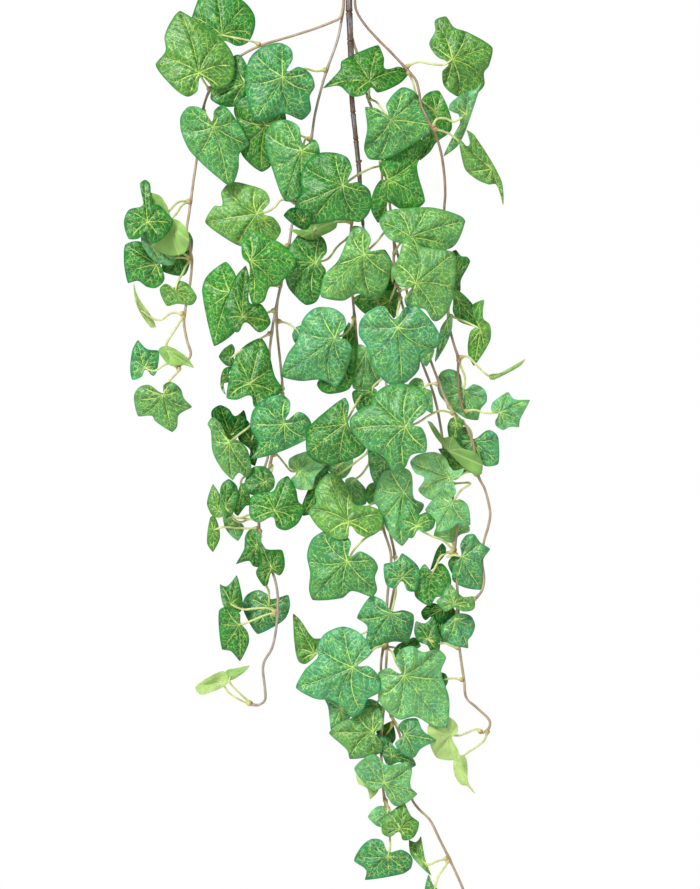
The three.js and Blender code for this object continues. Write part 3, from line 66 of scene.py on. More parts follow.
SWAY = ((1.9, 30, 21), (0.8, 14, 22))  # depth, wavelength and seed of the waves in the plant's depth
SWAY_WAVES = 9
SWAY_FADE = 30  # the waves grow to their full depth over this distance below the crown
FAR = 99.0  # more than any distance that is compared with it
NOISE = (0.3, 0.7)  # a noise texture mostly keeps between these

# Stem routes: across, down, out towards the viewer, in the front view.
STRANDS: dict[str, str] = {
    "left_outer": """
335,-96,-58 335,-126,-55 335.5,-147,-38 336,-150,-22 337,-139,-8 338.5,-112,-4 339,-62,-2 341.4,-28,1
343.3,-4,2 343,8,3 340,18,4 333,22,5 315,29,6 300,34,6 280,40,7 261,46,8 241,56,6 222,72,4 210,90,2 203,110,0
198,150,0 193,185,2 189,215,4 187,232,6 191,253,6 192,265,5 190,285,4 186,306,2 184,322,2 187,340,4 191,353,6
188,360,8 179,366,8
""",
    "left_inner": """
342,-96,-60 342,-126,-57 342,-148,-40 342,-152,-23 342.3,-140,-9 342.6,-112,-5.5 343,-62,-5 343.4,-28,-3.6
343.7,-4,-2.2 343.4,8,-1 342,18,0 337,42,4 327,70,6 321,90,7 315,115,7 311,140,5 303,170,3 297,203,2 292,225,2
289,245,3 281,285,5 277,303,6 273,325,7 270,348,7 267,375,5 262,410,1 266,438,0 268,455,0 264,470,0 260,495,0
259,520,0 260,545,2 267,562,6 273,573,9 277,588,11 278,605,12 276,630,11 272,648,9 265,660,7 263,670,6
265,688,5 265,700,5 258,705,5 252,704,5
""",
    "centre": """
350,-96,-62 350,-127,-59 350,-150,-43 350,-156,-23 349.7,-143,-6 349.4,-112,-2 349.2,-60,-1 349,0,0 350,30,0
351.5,70,0 352,100,0 356,140,0 359,170,0 361,200,-1 363,225,-2
""",
    "centre_branch": """
351,33,0 354,44,-1 357,53,-3 362,75,-5 368,98,-5 373,112,-6 380,145,-8 388,190,-9 394,243,-9 394,262,-9
399,290,-9 408,325,-8 422,362,-8 434,395,-8 441,428,-7 445,460,-4 452,492,0 457,525,2 455,552,2 458,600,2
459,640,2 461,660,3 464,680,4 466,697,4 475,706,4 487,717,4 490,723,4 488,729,4 482,733,4
""",
    "left_third": """
360,192,-1 350,204,-5 334,211,-9 316,218,-12 300,232,-13 290,255,-13 281,283,-12 277,305,-10 277,330,-9
281,370,-8 282,387,-9 279,420,-10 272,455,-11 267,480,-11 266,500,-11 268,515,-10
""",
    "right_mid": """
353,105,0 362,122,-5 372,150,-13 384,200,-17 400,262,-17 414,318,-12 427,352,2 431,362,8 437,378,14 448,405,18
460,420,18 467,428,17 473,445,14 478,475,8 485,490,6 490,512,5 488,527,4 484,541,2 482,560,2 484,578,3
482,590,4 476,598,5
""",
    "middle": """
361,200,-1 364,232,-6 371,262,-18 378,300,-24 384,350,-24 387,400,-24 388,450,-24 387,500,-22 389,527,-20
395,556,-18 395,582,-18 391,606,-18 385,640,-16 381,668,-14 385,700,-12 391,715,-9 400,736,-7 407,768,-4
411,796,0 418,808,2 430,820,4 440,840,5 449,858,5 463,889,4 469,912,3 471,930,2
""",
    "middle_left": """
361,190,-1 355,206,-7 351,230,-13 350,262,-17 353,300,-18 358,350,-18 365,400,-16 371,450,-13 378,500,-10
383,527,-8 391,555,-6 389,580,-6 387,606,-6 387,645,-4 386,668,-3 384,705,0 381,745,2 383,787,4 386,806,5
""",
    "right_outer": """
358,-96,-58 358,-126,-55 358,-147,-38 357.6,-150,-22 357,-139,-8 356.4,-112,-4 355.8,-62,-1.5 355.2,-20,0.5
355,2,2 357,12,3 365,25,5 378,40,8 390,52,11 402,65,14 410,74,17 416,82,19 419,95,20 421,107,21 428,122,21
436,138,20 441,155,18 444,175,16 445,195,14 444,212,10 445,245,2 447,280,-2 449,322,0 454,345,4 458,358,6
458,372,5 459,392,4 463,412,3
""",
}

# Leaves of each strand, each ended by a semicolon. Before its bar a leaf has its name, its tone, the turn in which
# it is laid, its base across and down, its lean, its left and right fold, and the route of its stalk where that
# shows; after the bar it has its edge, across and down from the base, clockwise from the tip.
LEAVES: dict[str, str] = {
    "left_outer": """
p1 mid 1 318,-112 -0.3 0.3 0.15 |
-26,32 -32,18 -43,9 -34,-3 -31,-17 -16,-16 -5,-26 2,-14 0,-4 10,0 19,11 8,20 3,32 -10,26;
a1 forest 0 222,36 -0.3 0.2 0.2 258,48 252,42 |
-9,-56 22,-35 32,-22 33,-9 27,6 16,11 3,6 -10,12 -23,7 -32,-5 -30,-20 -19,-48;
a3 forest 0 246,84 0.1 0.3 0.3 |
-35,16 -32,2 -13,-27 -5,-28 5,-8 5,2 1,12 -10,23 -24,23;
a2 jade 2 200,75 -0.15 0.2 0.25 208,92 206,85 |
-19,-63 22,-35 34,-17 33,6 17,16 2,4 -2,18 -13,23 -30,10 -44,-9 -34,-23 -35,-38 -26,-57;
a5 mid 3 214,128 -0.2 0.25 0.15 204,112 208,118 |
14,58 -22,26 -32,6 -33,-9 -26,-19 -17,-20 -8,-15 -2,-5 1,-16 10,-21 22,-8 36,17 26,26 25,40 20,55;
u1 forest 3 149,224 -0.2 0.3 0.3 188,199 178,203 165,217 |
-3,-43 2,-39 4,-20 12,-17 25,-2 20,10 5,21 -1,9 -9,16 -19,16 -24,0 -19,-13 -5,-18 -8,-39;
l2 rib 2 172,220 -0.1 -0.15 -0.2 188,199 183,205 177,214 |
-19,27 -25,-5 -21,-26 -11,-23 -4,-13 0,-2 8,2 16,11 18,23 13,34 -2,36;
l3 forest 1 157,265 -0.2 0.2 0.25 188,257 176,258 |
-32,-20 -20,-24 -7,-18 2,-3 8,14 0,23 -10,22 -19,16 -29,18 -33,-1;
l3b mint 1 151,246 -0.1 0.2 0.2 189,258 176,250 |
24,17 18.6,19.8 9,18.2 0.3,12.5 -5.4,4.8 -9,-3 -9,-12 -2,-18 5,-14 4,-5 12,-8 20,-2 24,6;
l4 forest -1 178,256 0.1 0.2 0.2 189,247 184,250 |
5,20 -16,15 -14,2 -3,-6 4,-21 11,-24 15,-15 11,11;
l5 pale 1 176,291 -0.2 0.25 0.25 188,258 187,265 182,275 177,284 |
21,6 16,14 2,13 -9,15 -16,-1 -10,-7 -2,-3 2,-10 12,-7;
l6 lit 1 147,315 0.2 -0.9 0.9 182,313 172,313 161,320 152,318 |
-13,-33 -9,-19 5,2 9,12 3,12 -11,-12;
l7 ivy 1 144,369 -0.2 0.25 0.25 180,365 167,364 155,371 |
-6,-29 3,-20 15,-18 14,-2 10,7 2,1 -2,8 -12,10 -12,-17;
l8 rib 2 167,350 0.2 -0.6 -0.5 181,313 182,319 175,330 167,343 |
27,18 16,15 4,16 -5,7 -8,-1 1,-4 20,7;
l9 olive 1 163,395 -0.25 0.2 0.3 180,365 178,372 168,383 |
9,37 -8,26 -11,21 -25,21 -29,1 -23,-8 -13,-10 0,-2 1,-10 9,-13 18,-6 21,3 29,12 16,20 14,32;
""",
    "left_inner": """
p2 pale 1 312,-48 -0.2 0.25 0.25 |
-26,18 -28,4 -36,-6 -24,-12 -16,-22 -4,-18 1,-6 10,-2 12,10 4,20 -8,26 -16,20;
a4 ivy 3 285,80 -0.15 0.25 0.2 325,69 316,72 305,70 295,74 |
-29,42 -37,23 -40,2 -35,-20 -23,-31 -6,-35 6,-29 8,-18 2,-7 14,-11 26,-4 30,8 25,18 26,32 17,41 -1,35
-17,41;
a6 dark 1 266,126 -0.3 0.2 0.2 309,142 290,132 |
-4,46 -14,40 -25,27 -26,4 -32,-16 -24,-27 -10,-26 4,-14 19,-12 20,2 5,40;
a7 mid 2 302,152 -0.2 0.25 0.2 310,142 306,139 |
-16,50 -23,38 -37,-14 -29,-28 -16,-31 -3,-24 2,-6 13,-11 18,3 11,28 -2,46;
a9 pale 2 257,214 -0.15 0.25 0.2 292,202 282,200 275,207 267,212 |
-52,8 -43,-8 -35,-9 -36,-22 -26,-32 -7,-29 8,-23 13,-12 6,-1 17,4 24,17 15,29 -2,33 -17,32 -35,22;
a10 grass 3 250,262 -0.2 0.25 0.2 288,244 270,252 |
47,0 37,15 27,25 20,26 14,40 3,43 -1,28 0,4 -7,-4 -7,-19 2,-30 18,-25 34,-16;
a11 grass 1 230,292 -0.15 0.2 0.3 280,288 250,288 |
-16,54 -28,0 -23,-16 -4,-30 5,-19 10,-2 10,23 4,41;
a12 dark 2 243,318 -0.2 0.3 0.2 275,312 258,316 |
3,-52 7,-38 7,-15 19,-13 28,5 17,15 3,5 -5,15 -16,5 -16,-16 -7,-41;
d1 dark 1 231,358 -0.1 0.2 0.3 266,333 250,345 |
1,-14 4,-9 3,0 5,7 -4,8 -12,-1 -7,-9;
d2 forest 2 250,384 -0.25 0.2 0.35 268,360 260,375 |
11,-46 18,-36 25,-8 33,6 18,19 5,23 1,12 -13,16 -23,14 -20,-8 -14,-28 -4,-39;
d3 dark 0 225,378 0.1 -0.8 0.6 265,380 240,372 |
1,17 -4,10 -4,-2 0,-10 8,-11 4,-4 4,4 -1,6;
d5 deep 1 231,435 -0.3 -0.2 -0.3 262,408 250,425 240,431 |
-11,-30 -2,-26 4,-19 13,-25 16,-13 10,-2 0,6 -19,-17 -19,-25;
d6 deep 0 250,440 -0.1 0.3 0.3 258,430 255,434 |
5,26 -1,22 0,10 -12,-2 -3,-20 4,-10 10,5;
d5b olive 2 230,442 -0.1 0.4 0.3 262,408 250,426 240,434 |
3,38 -8,27 -17,10 -19,-12 -22,-18 -17,-25 -8,-16 -1,-3 8,-2 18,8 22,32 16,35 9,31;
f1 forest 2 226,508 -0.2 0.3 0.4 258,516 250,515 237,518 |
3,-29 11,-22 12,-10 7,6 0,10 -5,-2 -6,-15 -4,-24;
f2 jade 1 219,511 -0.2 0.7 0.4 258,520 240,518 228,516 |
-6,-27 2,-14 4,5 -4,6 -9,1 -12,-9;
f3 jade 0 214,530 -0.2 0.6 0.6 258,526 240,528 224,527 |
-1,22 -7,13 -4,-12 0,-15 4,-7 6,8;
f4 mint 1 229,516 -0.2 0.6 0.4 258,519 250,519 240,522 |
9,25 1,19 -5,9 -5,-7 2,-5 5,2 15,11;
f5 forest 0 242,489 -0.2 0.3 0.4 257,470 246,476 241,482 |
-4,27 -8,23 -3,-1 1,-6 6,-2 9,16 4,17;
g1 forest 2 257,546 -0.1 0.3 0.3 259,528 261,536 |
-21,18 -13,3 -12,-9 -9,-15 -3,-18 3,-13 5,6 2,21 -4,20 -8,15;
g2 dark 3 272,568 -0.2 0.3 0.3 261,552 268,558 |
-10,-25 -5,-19 10,-18 13,-3 8,7 0,4 -4,16 -8,18 -16,5 -12,-5 -13,-17;
g3 forest 2 231,604 -0.2 0.3 0.4 277,611 268,608 255,608 243,609 |
6,-29 12,-3 9,8 1,3 -7,2 -11,-20 -4,-18;
g4 forest 1 239,624 -0.2 0.3 0.4 277,612 268,614 255,619 245,623 |
1,37 -8,27 -17,25 -20,-13 -11,-18 1,-11 2,-2 9,8 10,19;
g5 ivy -1 269,606 -0.1 0.2 0.3 268,562 266,583 269,592 |
-12,28 -26,4 -24,-9 -12,-16 -2,-12 2,-7 19,-11 21,0 16,13 1,23;
g6 lit 1 222,682 0.1 -0.9 -0.3 252,704 245,702 230,693 |
-26,4 -12,-6 3,-11 6,1 -19,12 -25,9;
g7 rib 2 231,675 0.2 0.9 0.3 253,702 240,693 230,682 |
19,-10 12,-2 -2,5 -5,-4 5,-7;
""",
    "left_third": """
d4 ivy 3 285,424 -0.2 0.2 0.3 281,388 284,396 285,410 |
-34,35 -26,20 -34,4 -32,-13 -21,-24 -4,-29 5,-23 5,-12 2,-4 14,-12 24,-6 28,6 26,13 5,24 -17,32;
d7 forest 1 266,482 -0.1 0.3 0.3 271,460 272,470 |
-22,3 -14,-14 -4,-16 4,-12 9,-2 6,8 -14,13;
d8 forest 2 275,511 -0.25 0.25 0.25 266,480 270,496 |
13,-35 21,-22 24,-9 30,-5 24,11 12,19 2,16 -2,6 -15,11 -25,5 -24,-14 -13,-19 -2,-20 4,-30;
d9 fresh 2 299,471 -0.15 0.3 0.25 273,452 277,455 284,463 291,471 |
26,-5 17,5 13,18 -2,18 -8,8 -3,2 -10,-4 -9,-13 10,-20 13,-12;
a17 blue 0 302,337 0.1 0.2 0.2 281,318 291,325 |
-10,-2 -6,-10 2,-12 6,-2 2,8 -6,7;
""",
    "centre": """
p5 mid 2 352,-148 -0.55 0.2 0.2 |
-14,42 -25,34 -35,21 -27,9 -23,-4 -10,-9 -1,-4 10,-10 23,-1 20,13 27,26 12,31 1,38;
p6 pale 1 352,-70 -0.2 0.25 0.25 |
-16,40 -36,18 -27,6 -22,-8 -8,-12 1,-5 14,-14 25,-2 19,12 26,26 10,30 0,43;
b1 dark 3 370,86 -0.5 0.25 0.2 369,99 369,94 |
8,-41 14,-28 15,-17 30,-19 39,-13 30,-2 8,8 1,3 -5,10 -18,12 -31,1 -47,3 -30,-16 -28,-25;
b3 mid 2 391,121 -0.1 0.25 0.35 370,98 377,103 384,113 |
45,7 9,32 -6,39 -22,39 -27,29 -24,9 -26,-12 -15,-11 -4,-3 -5,-15 10,-32 22,-29 33,-15;
b7 grass 1 388,180 -0.2 0.25 0.3 382,155 380,166 |
37,21 30,28 12,29 -1,23 -3,33 -10,43 -17,30 -15,13 -8,1 -3,0 -8,-8 -8,-16 32,-42 36,-30 29,-13;
a8 forest 4 343,187 -0.1 0.25 0.3 385,164 380,166 370,169 356,177 |
-47,19 -40,7 -42,-3 -38,-21 -26,-32 -10,-33 4,-28 9,-16 5,-3 15,-3 27,6 27,25 17,36 2,34 -35,38;
c1 olive 3 364,255 -0.2 0.25 0.3 393,225 383,234 376,243 |
-43,42 -40,21 -26,6 -11,-28 0,-26 7,-15 5,-4 19,-4 27,8 24,30 13,46 -6,39 -21,46;
c2 olive 1 410,238 -0.15 0.25 0.2 395,250 400,244 |
55,-16 42,10 10,11 -1,2 -9,6 -21,2 -29,-9 -31,-17 -23,-26 -8,-29 22,-30 50,-22;
c3 olive 4 413,283 -0.15 0.2 0.3 401,292 406,289 |
41,-29 40,13 33,31 21,39 11,27 -5,26 -9,16 -2,6 -13,5 -22,-11 -15,-24 -10,-41 -2,-48 7,-36;
c7 blue 5 397,328 -0.15 0.2 0.2 403,297 399,304 397,315 |
5,57 -9,56 -23,41 -31,19 -38,8 -37,-6 -27,-17 -13,-21 -3,-8 8,-20 21,-20 43,8 39,20 25,26 21,43;
c9 grass -1 390,300 0.1 0.2 0.2 399,280 394,290 |
-38,-2 -25,-8 6,-10 11,-2 9,10 4,18 -6,8 -22,14 -32,7;
c11 deep -1 389,284 0.1 0.2 0.2 396,262 392,270 |
7,8 -3,8 -9,-26 -13,-34 -3,-35 8,-8;
h2 forest 1 372,392 -0.2 0.3 0.3 384,372 378,382 |
-20,1 -10,-4 4,-3 4,5 -1,15 -13,21;
i7 mint 6 452,503 -0.15 0.3 0.3 477,474 470,483 460,491 |
-16,29 -17,17 -27,7 -14,-9 -5,-10 0,-3 8,-4 16,3 18,22 7,20 -2,26;
i8 fresh -1 452,537 0.1 0.3 0.3 456,551 453,544 |
-18,-1 -14,-11 14,-15 18,-6 8,-2 0,6;
i6 mid 3 417,526 -0.15 0.3 0.3 455,549 444,541 432,536 422,531 |
-13,-29 -4,-23 1,-12 10,-14 18,-8 16,2 7,6 1,4 -5,12 -13,8 -20,-4 -14,-15;
j3 forest 2 432,573 -0.2 0.3 0.5 455,549 446,553 440,557 436,565 |
-8,-9 -1,-2 8,-10 16,-3 19,10 11,23 4,24 -2,33 -17,23 -15,5;
j4 deep 1 441,556 -0.2 0.7 0.5 455,549 448,552 |
-11,15 -8,4 -4,-7 1,-13 5,-8 3,0;
j5 blue 2 461,556 -0.2 0.25 0.3 456,551 447,557 454,555 |
21,33 5,32 -8,25 -9,16 -6,6 0,0 -1,-12 5,-21 13,-22 19,-14 29,-7 22,4;
j6b forest 1 458,561 -0.1 0.3 0.3 456,551 456,556 |
-10,1 -3,-6 4,-1 4,7 -4,15 -8,9;
j8 deep 1 446,611 -0.12 0.3 0.3 458,600 452,606 |
-25,1 -19,-6 -11,-8 4,1 0,9 -8,11 -14,5 -21,9;
j9 blue 2 455,618 -0.2 0.25 0.3 459,600 457,608 |
13,30 -7,25 -14,17 -13,9 0,-4 8,-5 16,-2 20,7 17,17 13,22;
j10 forest 3 428,639 -0.15 0.3 0.3 459,646 452,646 445,643 437,643 |
5,-24 12,2 10,17 3,13 -1,6 -10,2 -14,-7 -12,-18 -3,-16;
j8b grass 0 441,613 -0.1 0.2 0.2 |
3,31 -7,21 -9,9 -11,-3 -5,-9 0,-3 7,-9 15,-1 14,13 9,25;
k5 forest 0 443,679 0.1 0.2 0.2 464,680 454,678 |
-2,-7 3,-5 5,2 2,8 -2,3;
n1 lit 1 451,734 -0.1 -0.2 -0.25 484,731 476,729 460,735 |
-15,23 -24,-6 -15,-16 -3,-18 6,-10 6,-1 1,3 7,16 8,25;
n2 lit 1 459,759 0.2 0.6 0.5 485,731 484,740 475,747 463,755 |
16,34 7,26 2,25 -4,17 -6,6 -4,-2 5,-4 8,4 9,22;
""",
    "right_mid": """
g0 mid 6 429,355 -0.1 0.3 0.3 424,340 427,347 |
-3,12 -8,7 -9,0 -4,-4 5,-5 3,3;
h1 mid 6 405,427 -0.15 0.2 0.25 450,411 440,411 428,416 417,423 |
-54,3 -55,-8 -43,-19 -34,-22 -32,-31 -19,-41 -3,-43 14,-38 22,-26 20,-15 7,-3 16,1 21,13 20,25 6,28 -1,41
-13,44 -22,29 -38,22;
h4 mint 3 423,388 -0.1 0.3 0.3 436,382 430,384 |
10,26 4,23 -16,2 -14,-5 -8,-10 -1,-8 2,0 8,3;
i1 jade 0 456,423 -0.1 0.5 0.5 450,408 454,416 |
-5,23 -9,5 -6,-4 0,-6 7,-2 5,8;
i2 under 4 471,470 0.2 0.6 -0.4 478,474 475,474 |
-44,-49 -39,-47 -30,-33 -19,-33 -9,-22 3,-18 11,-8 10,4 4,5 -9,-4 -35,-32;
i3 blue -1 472,441 -0.1 0.25 0.25 463,420 470,430 |
26,23 13,25 3,14 -10,11 -17,4 -14,-11 -7,-14 0,-2 16,-11 25,-6 27,5;
i2b dark 2 462,468 0.1 0.3 0.3 477,474 470,471 |
-24,-19 -16,-19 0,-4 6,3 -6,5 -18,-10;
i4 fresh 4 449,477 -0.15 0.3 0.25 477,474 470,472 462,474 455,479 |
-39,-15 -32,-22 -15,-25 -4,-20 3,-7 15,-9 11,-1 4,3 7,15 -1,23 -21,22 -31,13 -25,1 -34,-4;
j7 olive 4 454,604 -0.15 0.3 0.3 477,596 472,600 462,606 |
-5,-22 8,-8 19,-8 20,4 9,7 0,3 -9,7 -18,-3 -12,-9;
""",
    "middle": """
c8 mint 0 366,352 -0.1 0.4 0.4 380,335 374,343 |
-4,38 -13,36 -14,18 -8,-7 0,-5 14,20 12,33;
i5 mint 2 409,484 -0.15 0.25 0.2 389,466 398,474 |
-7,62 -18,52 -26,38 -29,26 -35,18 -33,3 -25,-13 0,-14 5,14 15,21 6,36 1,52;
i5b grass 1 378,487 -0.1 0.3 0.3 388,470 384,478 |
-11,15 -12,2 -7,-4 2,-3 2,13 -6,18;
i9 mid 1 385,462 -0.1 0.3 0.3 388,440 387,452 |
-17,-13 -1,-5 6,9 0,20 -10,22 -15,10;
j2 ivy 2 402,578 -0.2 0.3 0.3 394,560 397,570 |
0,-25 17,-10 14,12 5,12 0,3 -7,10 -16,6 -18,-14 -6,-17;
j6 blue 2 391,613 -0.2 0.25 0.25 394,580 396,592 394,602 |
-21,37 -25,27 -24,13 -34,5 -27,-9 -19,-17 -7,-12 1,-2 13,-3 23,3 17,29 1,29;
k2 mint 4 404,674 -0.15 0.25 0.2 384,645 392,652 396,662 |
43,53 28,51 11,42 -4,45 -16,38 -26,24 -24,11 -26,-2 -15,-7 -3,-2 -9,-14 -4,-25 8,-29 18,-23 34,-25 42,-17
37,-3 45,24;
k4 forest 1 402,652 0.1 0.3 0.3 384,644 394,648 |
-9,0 -4,-7 5,-11 13,-14 19,-5 -6,6;
ll2 blue 3 404,733 -0.2 0.25 0.25 391,715 397,724 |
32,7 17,15 10,24 -2,20 -9,10 -2,2 -6,-7 0,-14 13,-15 19,-3;
ll3 ivy 1 392,756 0.1 0.3 0.3 403,748 399,753 |
-16,-22 -4,-18 4,-8 20,1 24,9 18,12 8,6 -4,9 -10,-1 -18,-8;
ll5 dark -1 386,735 0.1 0.2 0.2 394,724 390,730 |
-10,-2 -3,-9 6,-13 10,3 6,10 -2,6;
m3 pale 1 423,861 -0.3 0.6 0.6 450,859 443,859 436,861 429,864 |
-2,-25 2,-3 8,14 -12,-6 -14,-21 -7,-19;
m4 mid 1 434,890 -0.2 0.6 0.4 450,860 445,866 438,876 |
-6,-15 -1,-6 7,3 4,16 -4,26 -10,15;
m5 mid 1 459,936 -0.2 0.3 0.3 468,913 462,922 |
-9,26 -21,2 -13,-6 -3,-8 9,-2 13,10;
""",
    "middle_left": """
a14 forest 1 316,263 -0.1 0.25 0.25 352,234 345,240 337,247 328,259 |
-32,-1 -27,-15 -17,-28 -2,-29 8,-24 11,-11 5,-1 10,8 5,29 0,39 -10,42 -19,35 -29,22;
a18 deep 5 303,222 -0.1 0.3 0.3 318,214 311,218 |
-19,-5 -13,-12 -6,-13 9,-7 9,2 4,9 -5,7;
a19 under 2 313,230 0.2 -0.8 -0.6 330,216 322,224 |
-25,-1 -13,0 2,-8 24,-8 23,-2 9,6 -4,10;
a15 blue 3 335,338 -0.15 0.2 0.3 354,318 350,328 343,335 |
-54,38 -48,17 -38,2 -32,-19 -20,-30 -3,-30 9,-22 11,-11 4,-1 12,2 17,12 11,34 1,50 -13,42 -35,43;
a16 grass 1 346,346 0.1 0.2 0.3 354,322 350,334 |
-16,48 -25,45 -29,37 -6,-1 -2,-16 3,-24 9,-16 11,4 8,29 3,43;
d10 forest 3 346,424 -0.1 0.3 0.45 362,388 356,404 |
-38,31 -40,16 -38,4 -11,-20 -1,-26 3,-19 2,-7 4,4 20,25 -10,40 -24,39;
d11 mint 1 336,468 -0.1 0.3 0.3 368,440 352,455 |
17,-9 16,0 10,9 4,11 -4,6 -11,-2;
d13 forest 1 318,466 -0.1 0.3 0.3 368,440 340,458 |
-14,-10 2,-6 11,0 4,10 -7,12;
d12 forest 0 319,484 -0.1 0.4 0.3 370,448 345,470 |
-16,32 -18,24 -6,-4 5,-16 11,-9 6,11 -4,28;
i11 mint 1 351,482 -0.1 0.3 0.3 372,462 362,474 |
15,22 1,23 -6,-1 2,-5 9,0 15,8;
e1 pale 5 349,522 -0.2 0.2 0.25 377,498 366,508 |
-21,-49 -9,-45 2,-29 5,-18 21,-16 32,-10 33,6 19,15 8,11 1,4 -1,15 -13,17 -31,5 -41,-11 -33,-19 -34,-32;
j1 mid 3 348,561 -0.15 0.2 0.25 382,527 372,534 362,541 354,550 |
-35,39 -39,29 -38,12 -41,-6 -36,-22 -23,-30 -6,-28 3,-19 1,-5 12,-10 25,-3 30,6 27,16 29,29 24,36 4,30
-6,37;
k1 blue 4 353,666 -0.15 0.2 0.2 386,645 375,648 367,656 |
-57,21 -48,3 -35,-10 -36,-20 -28,-33 -11,-40 5,-35 16,-23 16,-11 5,-2 16,-1 26,10 26,24 15,32 9,45 -1,51
-11,40 -20,34 -38,32;
k3 jade 1 315,654 -0.2 0.3 0.4 386,625 350,640 330,650 |
-22,-40 -15,-34 -2,-16 6,-15 5,-4 -9,10 -17,7 -21,-14;
k6 mint 1 341,708 -0.1 0.4 0.3 385,690 362,700 |
-10,22 -13,-1 -16,-8 -3,-8 5,0 9,10;
k7 blue 0 376,704 -0.1 0.3 0.3 385,690 381,697 |
-14,2 -8,-5 2,-2 9,8 0,8 -10,6;
ll1 olive 3 373,731 -0.15 0.25 0.2 384,705 380,718 |
-44,2 -33,-9 -17,-15 -8,-23 5,-24 10,-15 8,-3 2,1 9,11 7,22 -23,28 -26,19;
ll4 mint 4 384,782 -0.15 0.25 0.25 383,760 383,770 |
33,11 21,21 11,23 3,14 -1,5 -12,7 -30,-15 -11,-29 3,-18 24,-21 28,-13 26,3;
ll6 lit 1 367,783 0.1 0.3 0.3 384,776 376,780 |
3,16 0,5 -9,0 -11,-12 -3,-9 12,4;
m0 mint 1 387,814 -0.1 0.3 0.3 386,800 388,807 |
-19,3 -15,-4 -9,-8 -2,-8 3,-3 -5,13;
m1 jade 2 400,828 -0.15 0.3 0.3 386,803 392,812 397,820 |
4,-26 11,-13 19,-6 14,8 3,11 -1,3 -10,8 -18,4 -16,-10;
m2 ivy 1 388,855 -0.2 0.25 0.25 386,806 389,826 390,846 |
-23,25 -22,15 -34,6 -27,-8 -17,-16 -6,-15 0,-4 14,-6 24,2 23,13 14,19;
""",
    "right_outer": """
p3 blue 1 392,-104 -0.2 0.25 0.25 |
32,26 17,31 6,40 -2,27 -13,22 -14,9 -7,-1 0,-5 0,-17 12,-27 22,-16 35,-15 29,0 39,12;
p4 mid 1 388,-38 -0.2 0.25 0.25 |
22,20 10,24 -10,16 -12,4 -4,-4 -2,-12 8,-18 18,-10 28,-8 24,4 26,14;
b2 jade 1 452,61 -0.15 0.2 0.25 408,66 418,63 430,65 443,66 |
40,-13 37,5 32,12 32,25 20,36 5,36 -8,26 -10,12 -4,4 -15,-3 -23,-16 -17,-29 -17,-40 -6,-44 2,-33 16,-28;
b4 grass -1 427,108 -0.1 0.2 0.25 408,72 413,84 418,98 |
25,20 9,35 3,44 -7,52 -10,42 1,17 -5,4 -5,-9 3,-16 13,-16;
b5 mint 1 462,119 -0.2 0.9 -0.6 437,127 436,121 445,120 454,123 |
-19,38 -3,8 -5,-5 -13,-7 -13,-13 -2,-22 14,-29 19,-35 4,11 -5,28;
b6 pale 1 464,147 -0.2 0.5 0.8 438,128 446,134 456,140 |
39,58 32,38 24,38 11,32 0,21 -6,-9 4,0 2,-16 10,-11 37,33;
c4 dark 1 456,274 0.1 0.2 0.3 446,255 450,262 |
14,-12 5,6 4,18 -3,23 -6,1 -4,-22 0,-24 5,-18 11,-17;
c5 grass 1 457,298 -0.1 0.3 0.3 449,280 453,290 |
26,30 3,24 -4,14 -4,2 -7,-8 1,-8 17,8;
c6 jade 1 479,330 -0.1 0.4 0.6 453,315 466,322 |
-5,36 -11,23 -9,2 -1,-6 -7,-24 5,-30 4,-12 11,-5 11,11;
c12 mint 0 447,322 -0.1 0.6 0.4 449,290 449,305 |
-12,40 -7,8 -3,0 5,-8 5,6 -1,23;
c10 rib 1 493,377 0.2 -0.9 0.9 459,357 468,357 478,367 487,375 |
32,-18 27,-11 5,1 -2,3 -4,-2 7,-4;
h5 mint -1 464,391 -0.1 0.2 0.2 459,358 461,367 465,378 |
14,29 -1,26 -23,6 -27,-9 -23,-19 -14,-22 -4,-17 0,-2 10,-7 21,-1 23,10 17,18;
h6 mint 1 500,413 -0.2 0.3 0.3 463,411 474,410 486,413 |
30,-13 20,7 19,14 10,14 3,17 -4,13 -5,8 -2,1 -8,-1 -9,-7 -6,-12 8,-21 14,-14;
""",
}


class Tone(Enum):
    """Ground colours of the leaves, as sRGB hex; the last three are of leaves that show their underside. Besides the
    dye's own small spread, the tones hold painted light and shade: each leaf takes a lighter or a darker one for how
    lit or how shaded it lies.
    """

    # DEEP and DARK are mostly painted shade, of leaves that lie behind and under others.
    DEEP = "#02521a"
    DARK = "#0f660e"
    FOREST = "#167121"
    IVY = "#237a41"
    GRASS = "#248027"
    JADE = "#3d7f2b"
    MID = "#378543"
    BLUE = "#3a8c56"
    OLIVE = "#4b8a44"
    PALE = "#4e8b39"
    MINT = "#589f61"
    FRESH = "#81c881"
    UNDER = "#52963e"
    RIB = "#7db253"
    # LIT is a painted glow, of leaves lit through from behind.
    LIT = "#cbe090"


PLAIN = (Tone.UNDER, Tone.LIT, Tone.RIB)  # leaves that show their underside to the front


class Bark(Enum):
    """Colours of the strands, as sRGB hex."""

    MAIN = "#573b25"
    BROWN = "#82644a"
    TAN = "#a08867"
    GREY = "#978a77"


BARKS = {"centre": Bark.MAIN, "left_inner": Bark.GREY, "right_outer": Bark.BROWN}  # the others are tan


def linear(colour: str) -> tuple[float, float, float, float]:
    """Turns an sRGB hex colour into linear RGBA.

    Args:
        colour: Hex digits after a hash sign.

    Returns:
        Red, green, blue and an alpha of 1.
    """
    parts = [int(colour[i : i + 2], 16) / 255 for i in (1, 3, 5)]
    return (*[c / 12.92 if c <= 0.04045 else ((c + 0.055) / 1.055) ** 2.4 for c in parts], 1.0)


Source = bpy.types.Node | bpy.types.NodeSocket  # what a node's input can be linked to
Adder = Callable[..., bpy.types.Node]  # add_node with its tree given


